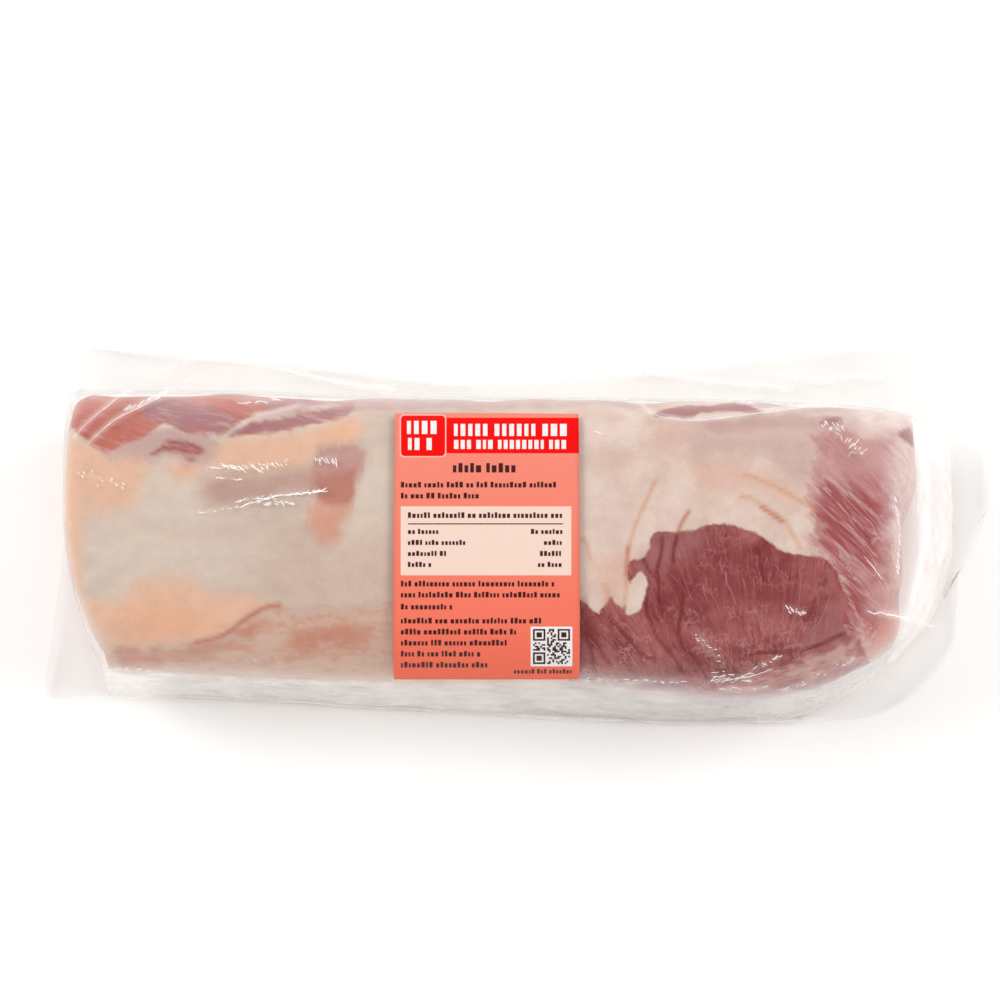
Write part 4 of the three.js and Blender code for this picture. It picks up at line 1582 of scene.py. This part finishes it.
def close_film_below(bm, i, j, x, y, z):
    """Carries the rim in under the margins and shuts the bag with one flat face."""
    column = bm.verts.layers.int.new("column")
    row = bm.verts.layers.int.new("row")
    for vert, at_i, at_j in zip(bm.verts, i, j):
        vert[column] = at_i
        vert[row] = at_j
    last_i, last_j = x.shape[0] - 1, x.shape[1] - 1
    rim = [edge for edge in bm.edges if edge.is_boundary]
    for share in RIM_STEPS:
        grown = bmesh.ops.extrude_edge_only(bm, edges=rim)["geom"]
        rim = [item for item in grown if isinstance(item, bmesh.types.BMEdge) and item.is_boundary]
        low_i, low_j = (round(share * zones[0][1]) for zones in (FILM_ALONG, FILM_ACROSS))
        high_i = last_i - round(share * FILM_ALONG[-1][1])
        high_j = last_j - round(share * FILM_ACROSS[-1][1])
        for vert in {v for edge in rim for v in edge.verts}:
            a = min(max(vert[column], low_i), high_i)
            b = min(max(vert[row], low_j), high_j)
            low = UNDER_FILM if share == 1 else z[a, b]
            vert.co = (x[a, b], y[a, b], low)
    bmesh.ops.contextual_create(bm, geom=rim)
    bmesh.ops.remove_doubles(bm, verts=bm.verts, dist=1e-4)
    bmesh.ops.recalc_face_normals(bm, faces=bm.faces)


def film_stand_off(places):
    """Where the film stands off the meat in front and at the right end, each from 0 to 1."""
    x, y = places[:, 0], places[:, 1]
    front, right = loin_front(x) - y, x - meat_right(y)
    left, back = loin_left(y) - x, y - loin_back(x)
    rise = HAZE_RISE * smoothstep(x, 0, 25) * (1 - smoothstep(x, 45, 70))
    uneven = front + rise + HAZE_WAVER * lumps(places, 14.0, seed=9)
    front_wall = smoothstep(uneven, -4.5, 2.0) * (1 - 0.4 * smoothstep(front, 3, 8))
    front_wall *= (1 - smoothstep(left, -6, 8)) * (1 - smoothstep(right, -6, 12))
    front_wall *= 1 - 0.5 * smoothstep(x, 35, 75)
    right_wall = smoothstep(right, -4, 1.5) * (1 - 0.7 * smoothstep(right, 12, 26))
    right_wall *= (1 - smoothstep(back, -8, 6)) * (1 - smoothstep(front, -6, 6))
    return front_wall, right_wall


def film_material(settings):
    sh = Shading("clear_film")
    cloud = sh.varied(0.8, 1.2, 12.0, 2.0, 0.6, smooth=False)
    normal = sh.bump(sh.noise(5.0, 1.0, 0.6), 0.5, 0.5)
    milk = sh.principled(Base_Color=settings.film, Roughness=0.28, Normal=normal)
    turned = sh.facing(0.5)
    edge = sh.times(sh.math("POWER", turned, 2.5), sh.attribute("edge_haze"))
    haze = sh.times(sh.math("ADD", sh.attribute("haze"), edge), cloud)
    body = sh.mix_shaders(sh.math("MINIMUM", haze, 0.95), sh.clear(), milk)
    shine = sh.math("MULTIPLY_ADD", sh.math("POWER", turned, 5.0), 0.4, 0.028)
    return sh.finish(sh.mix_shaders(shine, body, sh.glossy(0.12, normal)))


def make_drops(tree):
    """Small flat bubbles and drops where the film meets the meat."""
    bm = bmesh.new()
    for px, py, size in DROPS:
        place, normal = seen_on(tree, px, py)
        if place is None:
            raise RuntimeError(f"no film is seen at pixel {px}, {py}")
        turn = normal.to_track_quat("Z", "Y").to_matrix().to_4x4()
        squash = Matrix.Diagonal((size / 2, size / 2, size * DROP_HEIGHT, 1))
        matrix = Matrix.Translation(place / TO_METRES) @ turn @ squash
        bmesh.ops.create_icosphere(bm, subdivisions=3, radius=1, matrix=matrix)
    return finish_mesh(bm, "film_drops")


# The label: rectangles and rows in pixels of the photograph

LABEL_THICK = 0.35
LABEL_STEPS = (36, 110)
LABEL_WAVE = 0.14
LABEL_WAVE_SIZE = 16.0
PRINT_PROUD = 0.06
TALL_BLOCK = 4.0  # pixels, past which a block is made in two halves, to follow the curve
PRINT_SUNK = 0.1
# Fields of colour: left, top, right and bottom
RED_BAND = (445, 418, 579, 453)
RED_SQUARE = (400, 414.6, 446, 457)
CREAM_PANEL = (401, 506.7, 571, 575)
CODE_FIELD = (531, 627, 572, 666)
SQUARE_RIM = 1.2
PRINT_BLUR = 0.6
FIELD_FADE = (440, 690)  # the pixel rows between which the label's colour deepens
# Each row of blocks: left, right, top and bottom
TITLE_ROWS = [(454, 568, 424, 436), (454, 566, 440, 449)]
EMBLEM_ROWS = [(407, 439, 421, 434), (408, 438, 438, 450)]
PRINT_ROWS = [
    (453, 519, 464, 473),
    (401, 556, 482, 488), (401, 480, 493, 499),
    (408, 563, 512.5, 518.5),
    (408, 439, 529, 534.5), (408, 467, 540, 545.5), (408, 446, 551, 556.5), (408, 431, 562, 567.5),
    (531, 563, 529, 534.5), (544, 563, 540, 545.5), (540, 563, 551, 556.5), (538, 563, 562, 567.5),
    (401, 554, 581, 587), (401, 560, 592, 598), (401, 454, 604, 610),
    (401, 541, 618, 624), (401, 521, 629, 635), (401, 509, 640, 646), (401, 482, 651, 657),
    (401, 490, 662, 668),
    (514, 572, 669, 674),
]
RULE_ROWS = [(408, 563, 523.4, 524.4)]
RULE_PARTS = 16
CODE_CELLS = 21
CODE_MARGIN = 2
CODE_RING = 7
SMALLEST_BLOCK = 0.2
PRINT_SEED = 12
# The blocks' widths and gaps, and how much a tall one rises, as shares of a row's height
LETTER_WIDTHS = (0.3, 0.56)
LETTER_GAP = 0.24
WORD_GAP = 0.35
TALL_RISE = 0.24
TALL_LETTERS = 0.3
FIRST_WORD = (2, 8)  # how many letters
NEXT_WORDS = (2, 9)
LETTER_TRIM = (1.3, 0.6)  # what is left free at the top and bottom of a row of small print


def box_between(bm, tree, left, right, top, bottom):
    """A thin closed block that covers a rectangle of pixels on the label."""
    if min(right - left, bottom - top) < SMALLEST_BLOCK:
        return
    if bottom - top > TALL_BLOCK:
        middle = (top + bottom) / 2
        box_between(bm, tree, left, right, top, middle)
        box_between(bm, tree, left, right, middle, bottom)
        return
    for vert in bmesh.ops.create_cube(bm, size=2)["verts"]:
        px = lerp(left, right, (vert.co.x + 1) / 2)
        py = lerp(bottom, top, (vert.co.y + 1) / 2)
        rise = PRINT_PROUD if vert.co.z > 0 else -PRINT_SUNK
        place, normal = seen_on(tree, px, py)
        vert.co = place / TO_METRES + normal * rise


def words(draw, left, right, size):
    """Letter-sized blocks in words that fill a row from left to right."""
    blocks = []
    at = left
    letters = draw.randint(*FIRST_WORD)
    while at < right - size * LETTER_WIDTHS[0]:
        width = min(size * draw.uniform(*LETTER_WIDTHS), right - at)
        blocks.append((at, at + width))
        at += width + size * LETTER_GAP
        letters -= 1
        if letters <= 0:
            at += size * WORD_GAP
            letters = draw.randint(*NEXT_WORDS)
    return blocks


def make_label():
    bm = bmesh.new()
    bmesh.ops.create_grid(bm, x_segments=LABEL_STEPS[0], y_segments=LABEL_STEPS[1], size=1)
    at = places_of(bm)
    x = lerp(LABEL_LEFT, LABEL_RIGHT, (at[:, 0] + 1) / 2)
    y = lerp(LABEL_FRONT, LABEL_BACK, (at[:, 1] + 1) / 2)
    z = film_over_loin(x, y) + LABEL_GAP
    places = np.stack([x, y, z], axis=1)
    move_to(bm, places)
    wavy = LABEL_WAVE * lumps(places, LABEL_WAVE_SIZE, seed=8)
    move_to(bm, places + normals_of(bm) * wavy[:, None])
    bmesh.ops.recalc_face_normals(bm, faces=bm.faces)
    if sum(face.normal.z for face in bm.faces) < 0:
        bmesh.ops.reverse_faces(bm, faces=bm.faces)
    bmesh.ops.solidify(bm, geom=bm.faces[:] + bm.edges[:] + bm.verts[:], thickness=-LABEL_THICK)
    bmesh.ops.recalc_face_normals(bm, faces=bm.faces)
    chart = bm.loops.layers.uv.new("photo")
    for face in bm.faces:
        for loop in face.loops:
            px, py = pixel_of(np.array([loop.vert.co]))
            loop[chart].uv = (px[0] / FRAME_PIXELS, py[0] / FRAME_PIXELS)
    return finish_mesh(bm, "label_sheet")


def make_print(tree):
    draw = random.Random(PRINT_SEED)
    dark = bmesh.new()
    pale = bmesh.new()
    above, below = LETTER_TRIM
    for left, right, top, bottom in PRINT_ROWS:
        for start, end in words(draw, left, right, bottom - top):
            tall = draw.random() < TALL_LETTERS
            up = (bottom - top) * (TALL_RISE if tall else 0.0)
            box_between(dark, tree, start, end, top + above - up, bottom - below)
    for left, right, top, bottom in RULE_ROWS:
        step = (right - left) / RULE_PARTS
        for k in range(RULE_PARTS):
            box_between(dark, tree, left + k * step, left + (k + 1) * step, top, bottom)
    for left, right, top, bottom in TITLE_ROWS + EMBLEM_ROWS:
        for start, end in words(draw, left, right, bottom - top):
            box_between(pale, tree, start, end, top, bottom)
    make_code(dark, tree, draw)
    return finish_mesh(dark, "label_print", False), finish_mesh(pale, "label_title", False)


def make_code(bm, tree, draw):
    """A square of random cells with three ringed corners."""
    left, top, right, bottom = CODE_FIELD
    step_x = (right - left - 2 * CODE_MARGIN) / CODE_CELLS
    step_y = (bottom - top - 2 * CODE_MARGIN) / CODE_CELLS
    left, top = left + CODE_MARGIN, top + CODE_MARGIN
    for row in range(CODE_CELLS):
        run = None
        for col in range(CODE_CELLS + 1):
            filled = col < CODE_CELLS and code_cell(col, row, draw)
            if filled and run is None:
                run = col
            if not filled and run is not None:
                low = top + row * step_y
                box_between(bm, tree, left + run * step_x, left + col * step_x, low, low + step_y)
                run = None


def code_cell(col, row, draw):
    """Whether a cell is dark: by chance, but for a ring round a square in three corners."""
    far, half = CODE_CELLS - CODE_RING, CODE_RING // 2
    for at_col, at_row in ((0, 0), (far, 0), (0, far)):
        away = max(abs(col - at_col - half), abs(row - at_row - half))
        if away <= half + 1:
            return away in (0, 1, half)
    return draw.random() < 0.5


def in_rectangle(sh, across, down, rectangle, corner):
    """1 inside a rectangle of the photograph's pixels, 0 outside it."""
    left, top, right, bottom = rectangle
    middle = (left + right) / 2, (top + bottom) / 2
    half = (right - left) / 2 - corner, (bottom - top) / 2 - corner
    squares = []
    for place, centre, reach in zip((across, down), middle, half):
        away = sh.math("ABSOLUTE", sh.math("SUBTRACT", place, centre))
        out = sh.math("MAXIMUM", sh.math("SUBTRACT", away, reach), 0.0)
        squares.append(sh.times(out, out))
    away = sh.math("SQRT", sh.math("ADD", *squares))
    return sh.range(away, corner, corner + PRINT_BLUR, 1.0, 0.0)


def label_material(settings):
    sh = Shading("printed_label")
    uv = sh.node("UVMap", uv_map="photo")
    split = sh.node("SeparateXYZ")
    sh.put(split.inputs[0], uv.outputs[0])
    across = sh.times(split.outputs[0], FRAME_PIXELS)
    down = sh.times(split.outputs[1], FRAME_PIXELS)
    colour = sh.mix(sh.range(down, *FIELD_FADE), settings.field_top, settings.field_low)
    left, top, right, bottom = RED_SQUARE
    rim = SQUARE_RIM
    fields = [
        (RED_BAND, 0.0, settings.red),
        (RED_SQUARE, 4.0, settings.pale),
        ((left + rim, top + rim, right - rim, bottom - rim), 3.4, settings.red),
        (CREAM_PANEL, 0.0, settings.panel),
        (CODE_FIELD, 0.0, settings.white),
    ]
    for rectangle, corner, paint in fields:
        colour = sh.mix(in_rectangle(sh, across, down, rectangle, corner), colour, paint)
    shader = sh.principled(
        Base_Color=sh.shaded(colour, sh.varied(0.985, 1.01, 0.8, 3.0, 0.6)),
        Roughness=sh.varied(0.5, 0.62, 6.0, 3.0, 0.5),
        Specular_IOR_Level=0.06,
        Normal=sh.bump(sh.noise(0.6, 3.0, 0.6), 0.03, 0.4),
    )
    return sh.finish(shader)


def print_material(name, colour):
    sh = Shading(name)
    speck = sh.varied(0.9, 1.08, 0.5, 2.0, 0.6)
    tone = sh.shaded(colour, speck)
    return sh.finish(sh.principled(Base_Color=tone, Roughness=0.5, Normal=sh.bump(speck, 0.02, 0.3)))


# The stage

FLOOR_DROP = 0.3
ZENITH = 0.35  # the room's light overhead, as a share of that at the sides
ROOM_COLOUR = (1.0, 0.998, 0.992, 1.0)
TABLE_COLOUR = (250, 249, 247)
TABLE_REACH = 2500.0
# Each soft light's name, place, size and share of the power
LIGHTS = [
    ("left_light", (-2.1, 0.8, 1.6), (1.8, 1.2), 1.3),
    ("right_light", (2.1, 0.4, 1.6), (1.8, 1.2), 1.1),
    ("back_light", (0.0, 2.6, 1.0), (2.6, 0.8), 0.45),
    ("front_light", (0.0, -2.4, 1.9), (2.4, 1.2), 0.8),
]


def make_floor():
    bm = bmesh.new()
    bmesh.ops.create_grid(bm, x_segments=8, y_segments=8, size=TABLE_REACH)
    bmesh.ops.translate(bm, vec=(0, 0, -FLOOR_DROP), verts=bm.verts)
    piece = finish_mesh(bm, "floor")
    sh = Shading("white_table")
    colour = sh.shaded(linear(*TABLE_COLOUR), sh.varied(0.985, 1.0, 300.0, 2.0, 0.5))
    piece.data.materials.append(sh.finish(sh.principled(Base_Color=colour, Roughness=0.6)))
    return piece


def add_light(name, place, size, power, target=(0, 0, 0)):
    lamp = bpy.data.lights.new(name, "AREA")
    lamp.shape = "RECTANGLE"
    lamp.size, lamp.size_y = size
    lamp.energy = power
    holder = bpy.data.objects.new(name, lamp)
    holder.location = place
    holder.rotation_euler = (Vector(target) - Vector(place)).to_track_quat("-Z", "Y").to_euler()
    holder.visible_glossy = False
    bpy.context.scene.collection.objects.link(holder)
    return holder


def make_world(strength):
    world = bpy.data.worlds.new("soft_room")
    world.use_nodes = True
    nodes, links = world.node_tree.nodes, world.node_tree.links
    split = nodes.new("ShaderNodeSeparateXYZ")
    links.new(nodes.new("ShaderNodeTexCoord").outputs["Generated"], split.inputs[0])
    fall = nodes.new("ShaderNodeMapRange")
    links.new(split.outputs["Z"], fall.inputs["Value"])
    ends = {"From Min": 0.1, "From Max": 0.9, "To Min": strength, "To Max": strength * ZENITH}
    for name, value in ends.items():
        fall.inputs[name].default_value = value
    back = nodes["Background"]
    back.inputs["Color"].default_value = ROOM_COLOUR
    links.new(fall.outputs[0], back.inputs["Strength"])
    bpy.context.scene.world = world


def make_camera():
    camera = bpy.data.cameras.new("photo_camera")
    camera.sensor_width = SENSOR
    camera.lens = FOCAL_PIXELS / FRAME_PIXELS * SENSOR
    camera.clip_start = 0.01
    camera.clip_end = 20
    holder = bpy.data.objects.new("photo_camera", camera)
    holder.location = EYE * TO_METRES
    holder.rotation_euler = (math.pi / 2 - ELEVATION, 0, 0)
    bpy.context.scene.collection.objects.link(holder)
    bpy.context.scene.camera = holder


# The sizes and colours that a user would change


def colour_setting(name, description, default):
    return FloatVectorProperty(
        name=name, description=description, subtype="COLOR", size=4, min=0, max=1, default=default
    )


def tone(name, description, *looks):
    """A colour of the meat, by how it looks through the film."""
    return colour_setting(name, description, own_colour(*looks, **MEAT_LIGHT))


class LoinSettings(bpy.types.PropertyGroup):
    """Colours of the loin's fat, membrane and muscle."""

    membrane: tone("Membrane", "Grey-white membrane", 215, 196, 182)
    membrane_grey: tone("Grey membrane", "Where it is thickest", 207, 186, 173)
    membrane_light: tone("Light membrane", "Its palest places", 222, 205, 191)
    membrane_pink: tone("Pink membrane", "Membrane over red meat", 211, 184, 169)
    cream: tone("Cream fat", "Fat of the right half", 229, 209, 197)
    cream_deep: tone("Deep cream", "Fat where it is thin", 220, 194, 182)
    peach: tone("Peach fat", "Thick fat", 231, 189, 164)
    orange: tone("Orange fat", "The fat's deepest colour", 236, 180, 148)
    fold: tone("Fold", "Grey folds of the membrane", 200, 168, 162)
    spots: tone("Spots", "Grey spots in the fat", 207, 190, 178)
    stripe: tone("Stripe", "Brownish stripe", 195, 160, 148)
    bruise_top: tone("Bruise top", "Purple-grey top of the patch", 203, 166, 158)
    bruise: tone("Bruise", "Reddish-brown patch", 192, 133, 120)
    salmon: tone("Salmon", "Salmon-coloured flaps", 217, 164, 143)
    cut: tone("Cut end", "Muscle of the cut ends", 196, 128, 124)
    cut_light: tone("Light cut end", "Its lighter parts", 212, 156, 148)
    salmon_end: tone("Salmon end", "The right end's lower corner", 205, 142, 130)
    lower: tone("Lower band", "The front's brownish band", 213, 180, 163)
    lower_red: tone("Lower red", "The band's redder core", 203, 146, 126)
    pink_cream: tone("Pink fat", "Fat over red meat", 221, 184, 168)
    mauve: tone("Mauve", "Mauve membrane", 209, 180, 171)
    faded: tone("Faded muscle", "Muscle seen through membrane", 200, 166, 160)
    back_red: tone("Back red", "Left end of the back muscle", 198, 124, 113)
    back_purple: tone("Back purple", "The back muscle's purple part", 174, 130, 133)
    slit: tone("Slit", "Purple muscle in narrow gaps", 168, 112, 112)
    back_deep: tone("Deep back", "Its darkest fibres", 168, 100, 98)
    far_muscle: tone("End muscle", "Muscle of the right end", 184, 116, 116)
    far_deep: tone("Deep end muscle", "Its darker fibres", 158, 76, 82)
    far_light: tone("Light end muscle", "Its lighter fibres", 209, 170, 166)
    # partly painted highlight: the film's bright haze over the end's edge
    pale_end_and_sheen: tone("Pale end", "The end's pale edge", 236, 217, 212)
    dark_muscle: tone("Dark muscle", "The bare muscle", 156, 93, 93)
    muscle_deep: tone("Deep muscle", "Its darker fibres", 139, 76, 79)
    muscle_light: tone("Light muscle", "Its lighter fibres", 174, 110, 108)
    frost: tone("Frost", "Pale fat scraps on the muscle", 212, 180, 168)
    vein: tone("Vein", "Tan veins", 214, 160, 124)
    seam: tone("Seam", "Red lines between layers", 196, 124, 102)
    # partly painted shade: the creases' own dark red, deepened for the shade in them
    crease_shade: tone("Crease", "Dark creases in the muscle", 128, 60, 64)
    fibre: tone("Fibre", "Pale fibres on the muscle", 202, 150, 146)


class BagSettings(bpy.types.PropertyGroup):
    """The film's looseness and clearness."""

    wrinkles: FloatProperty(
        name="Wrinkles",
        description="Height of the crinkles where the film is slack",
        default=0.0005,
        min=0,
        max=0.002,
        unit="LENGTH",
    )
    haze: FloatProperty(
        name="Haze",
        description="How milky the slack film is",
        default=0.025,
        min=0,
        max=1,
        subtype="FACTOR",
    )
    film: colour_setting("Film", "Colour of the milky film", linear(253, 251, 248))


class LabelSettings(bpy.types.PropertyGroup):
    """The label's colours."""

    field_top: colour_setting("Upper field", "The label's upper half", printed(255, 146, 126))
    field_low: colour_setting("Lower field", "The label's lower half", printed(255, 124, 100))
    red: colour_setting("Band", "The band and the emblem", printed(254, 24, 4))
    panel: colour_setting("Panel", "The pale panel", printed(255, 224, 209))
    white: colour_setting("White", "Code field and title", printed(252, 250, 248))
    pale: colour_setting("Outline", "The emblem's outline", printed(255, 200, 188))
    ink: colour_setting("Ink", "The small print", printed(74, 30, 24))


class StageSettings(bpy.types.PropertyGroup):
    """The light."""

    world: FloatProperty(
        name="Room light", description="Strength of the even light", default=0.85, min=0, max=5
    )
    key: FloatProperty(
        name="Main light",
        description="Power of the soft light",
        default=37.0,
        min=0,
        max=200,
        unit="POWER",
    )


def place_piece(piece, node, material):
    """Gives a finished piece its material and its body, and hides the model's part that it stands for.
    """
    if material is not None:
        piece.data.materials.append(material)
    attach(piece, "root")
    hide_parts(node)


class LOIN_OT_meat(bpy.types.Operator):
    """Make the loin, with its muscles, fat and membrane"""

    bl_idname = "packed_loin.meat"
    bl_label = "Make the loin"

    def execute(self, context):
        settings = context.scene.loin_settings
        place_piece(make_loin(), "sealed_bag", loin_material(settings))
        return {"FINISHED"}


class LOIN_OT_strands(bpy.types.Operator):
    """Make the veins, the creases with their painted shade, and the pale fibres on the loin"""

    bl_idname = "packed_loin.strands"
    bl_label = "Make the strands"

    def execute(self, context):
        settings = context.scene.loin_settings
        tree = tree_of(bpy.data.objects["loin"])
        dark, far = REGIONS["dark_muscle"][0], REGIONS["far_muscle"][0]
        creases = SHADED_CREASES + threads(dark, fan_lean, DARK_THREADS)
        fibres = PALE_FIBRES + threads(dark, fan_lean, PALE_THREADS)
        fibres += threads(far, end_lean, END_PALE_THREADS)
        kinds = [
            ("loin_veins", TAN_VEINS, 0.3, 0.9, settings.vein, settings.seam),
            ("loin_seams", RED_SEAMS, 0.25, 0.95, settings.seam, settings.bruise),
            ("loin_crease_shade", creases, 0.24, 0.75, settings.crease_shade, settings.muscle_deep),
            ("loin_fibres", fibres, 0.13, 0.6, settings.fibre, settings.muscle_light),
        ]
        for seed, (name, lines, radius, sunk, colour, other) in enumerate(kinds):
            piece = strands(name, tree, lines, radius, sunk, seed)
            place_piece(piece, "sealed_bag", strand_material(name, colour, other, 0.4))
        return {"FINISHED"}


class LOIN_OT_bag(bpy.types.Operator):
    """Make the clear film bag, the white strands that paint highlights on it, and its drops"""

    bl_idname = "packed_loin.bag"
    bl_label = "Make the bag"

    def execute(self, context):
        settings = context.scene.bag_settings
        film = make_film(settings, tree_of(bpy.data.objects["loin"]))
        material = film_material(settings)
        place_piece(film, "sealed_bag", material)
        tree = tree_of(film)
        # painted highlights: white strands along the folds and the rows of glints on the film
        glint_lines = FINE_GLINTS + BRIGHT_FOLDS + glint_flecks()
        creases = strands("film_crease_glints", tree, glint_lines, 0.115, 0.3, seed=9)
        glint_finish = strand_material("painted_glint_strand", settings.film, settings.film, 0.2)
        place_piece(creases, "sealed_bag", glint_finish)
        drops = make_drops(tree)
        place_piece(drops, "sealed_bag", drop_material())
        return {"FINISHED"}


def drop_material():
    sh = Shading("clear_drop")
    normal = sh.bump(sh.noise(1.5, 2.0, 0.5), 0.1, 0.4)
    shine = sh.range(sh.facing(0.45, normal), 0.1, 0.9, 0.12, 0.8)
    return sh.finish(sh.mix_shaders(shine, sh.clear(), sh.glossy(0.08, normal)))


class LOIN_OT_label(bpy.types.Operator):
    """Make the label and what is printed on it"""

    bl_idname = "packed_loin.label"
    bl_label = "Make the label"

    def execute(self, context):
        settings = context.scene.label_settings
        sheet = make_label()
        place_piece(sheet, "label", label_material(settings))
        dark, pale = make_print(tree_of(sheet))
        place_piece(dark, "label", print_material("dark_print", settings.ink))
        place_piece(pale, "label", print_material("white_print", settings.white))
        return {"FINISHED"}


class LOIN_OT_stage(bpy.types.Operator):
    """Make the white table, the light and the camera"""

    bl_idname = "packed_loin.stage"
    bl_label = "Make the stage"

    def execute(self, context):
        settings = context.scene.stage_settings
        make_floor()
        make_world(settings.world)
        for name, place, size, share in LIGHTS:
            add_light(name, place, size, settings.key * share)
        make_camera()
        context.scene.view_settings.view_transform = "Standard"
        return {"FINISHED"}


class LOIN_PT_panel(bpy.types.Panel):
    """Lists the pieces of the pack"""

    bl_label = "Packed pork loin"
    bl_space_type = "VIEW_3D"
    bl_region_type = "UI"
    bl_category = "Pork loin"

    def draw(self, context):
        column = self.layout.column()
        for operator in OPERATORS:
            column.operator(operator.bl_idname)
        for group in SETTINGS:
            settings = getattr(context.scene, group)
            for name in SETTINGS[group].__annotations__:
                column.prop(settings, name)


SETTINGS = {
    "loin_settings": LoinSettings,
    "bag_settings": BagSettings,
    "label_settings": LabelSettings,
    "stage_settings": StageSettings,
}
OPERATORS = [LOIN_OT_meat, LOIN_OT_strands, LOIN_OT_bag, LOIN_OT_label, LOIN_OT_stage]


def register():
    for name, group in SETTINGS.items():
        bpy.utils.register_class(group)
        setattr(bpy.types.Scene, name, PointerProperty(type=group))
    for item in OPERATORS + [LOIN_PT_panel]:
        bpy.utils.register_class(item)


def unregister():
    for item in reversed(OPERATORS + [LOIN_PT_panel]):
        bpy.utils.unregister_class(item)
    for name, group in SETTINGS.items():
        delattr(bpy.types.Scene, name)
        bpy.utils.unregister_class(group)


def main():
    register()
    bpy.ops.packed_loin.meat()
    bpy.ops.packed_loin.strands()
    bpy.ops.packed_loin.bag()
    bpy.ops.packed_loin.label()
    bpy.ops.packed_loin.stage()
    bpy.context.view_layer.update()


if __name__ == "__main__":
    main()
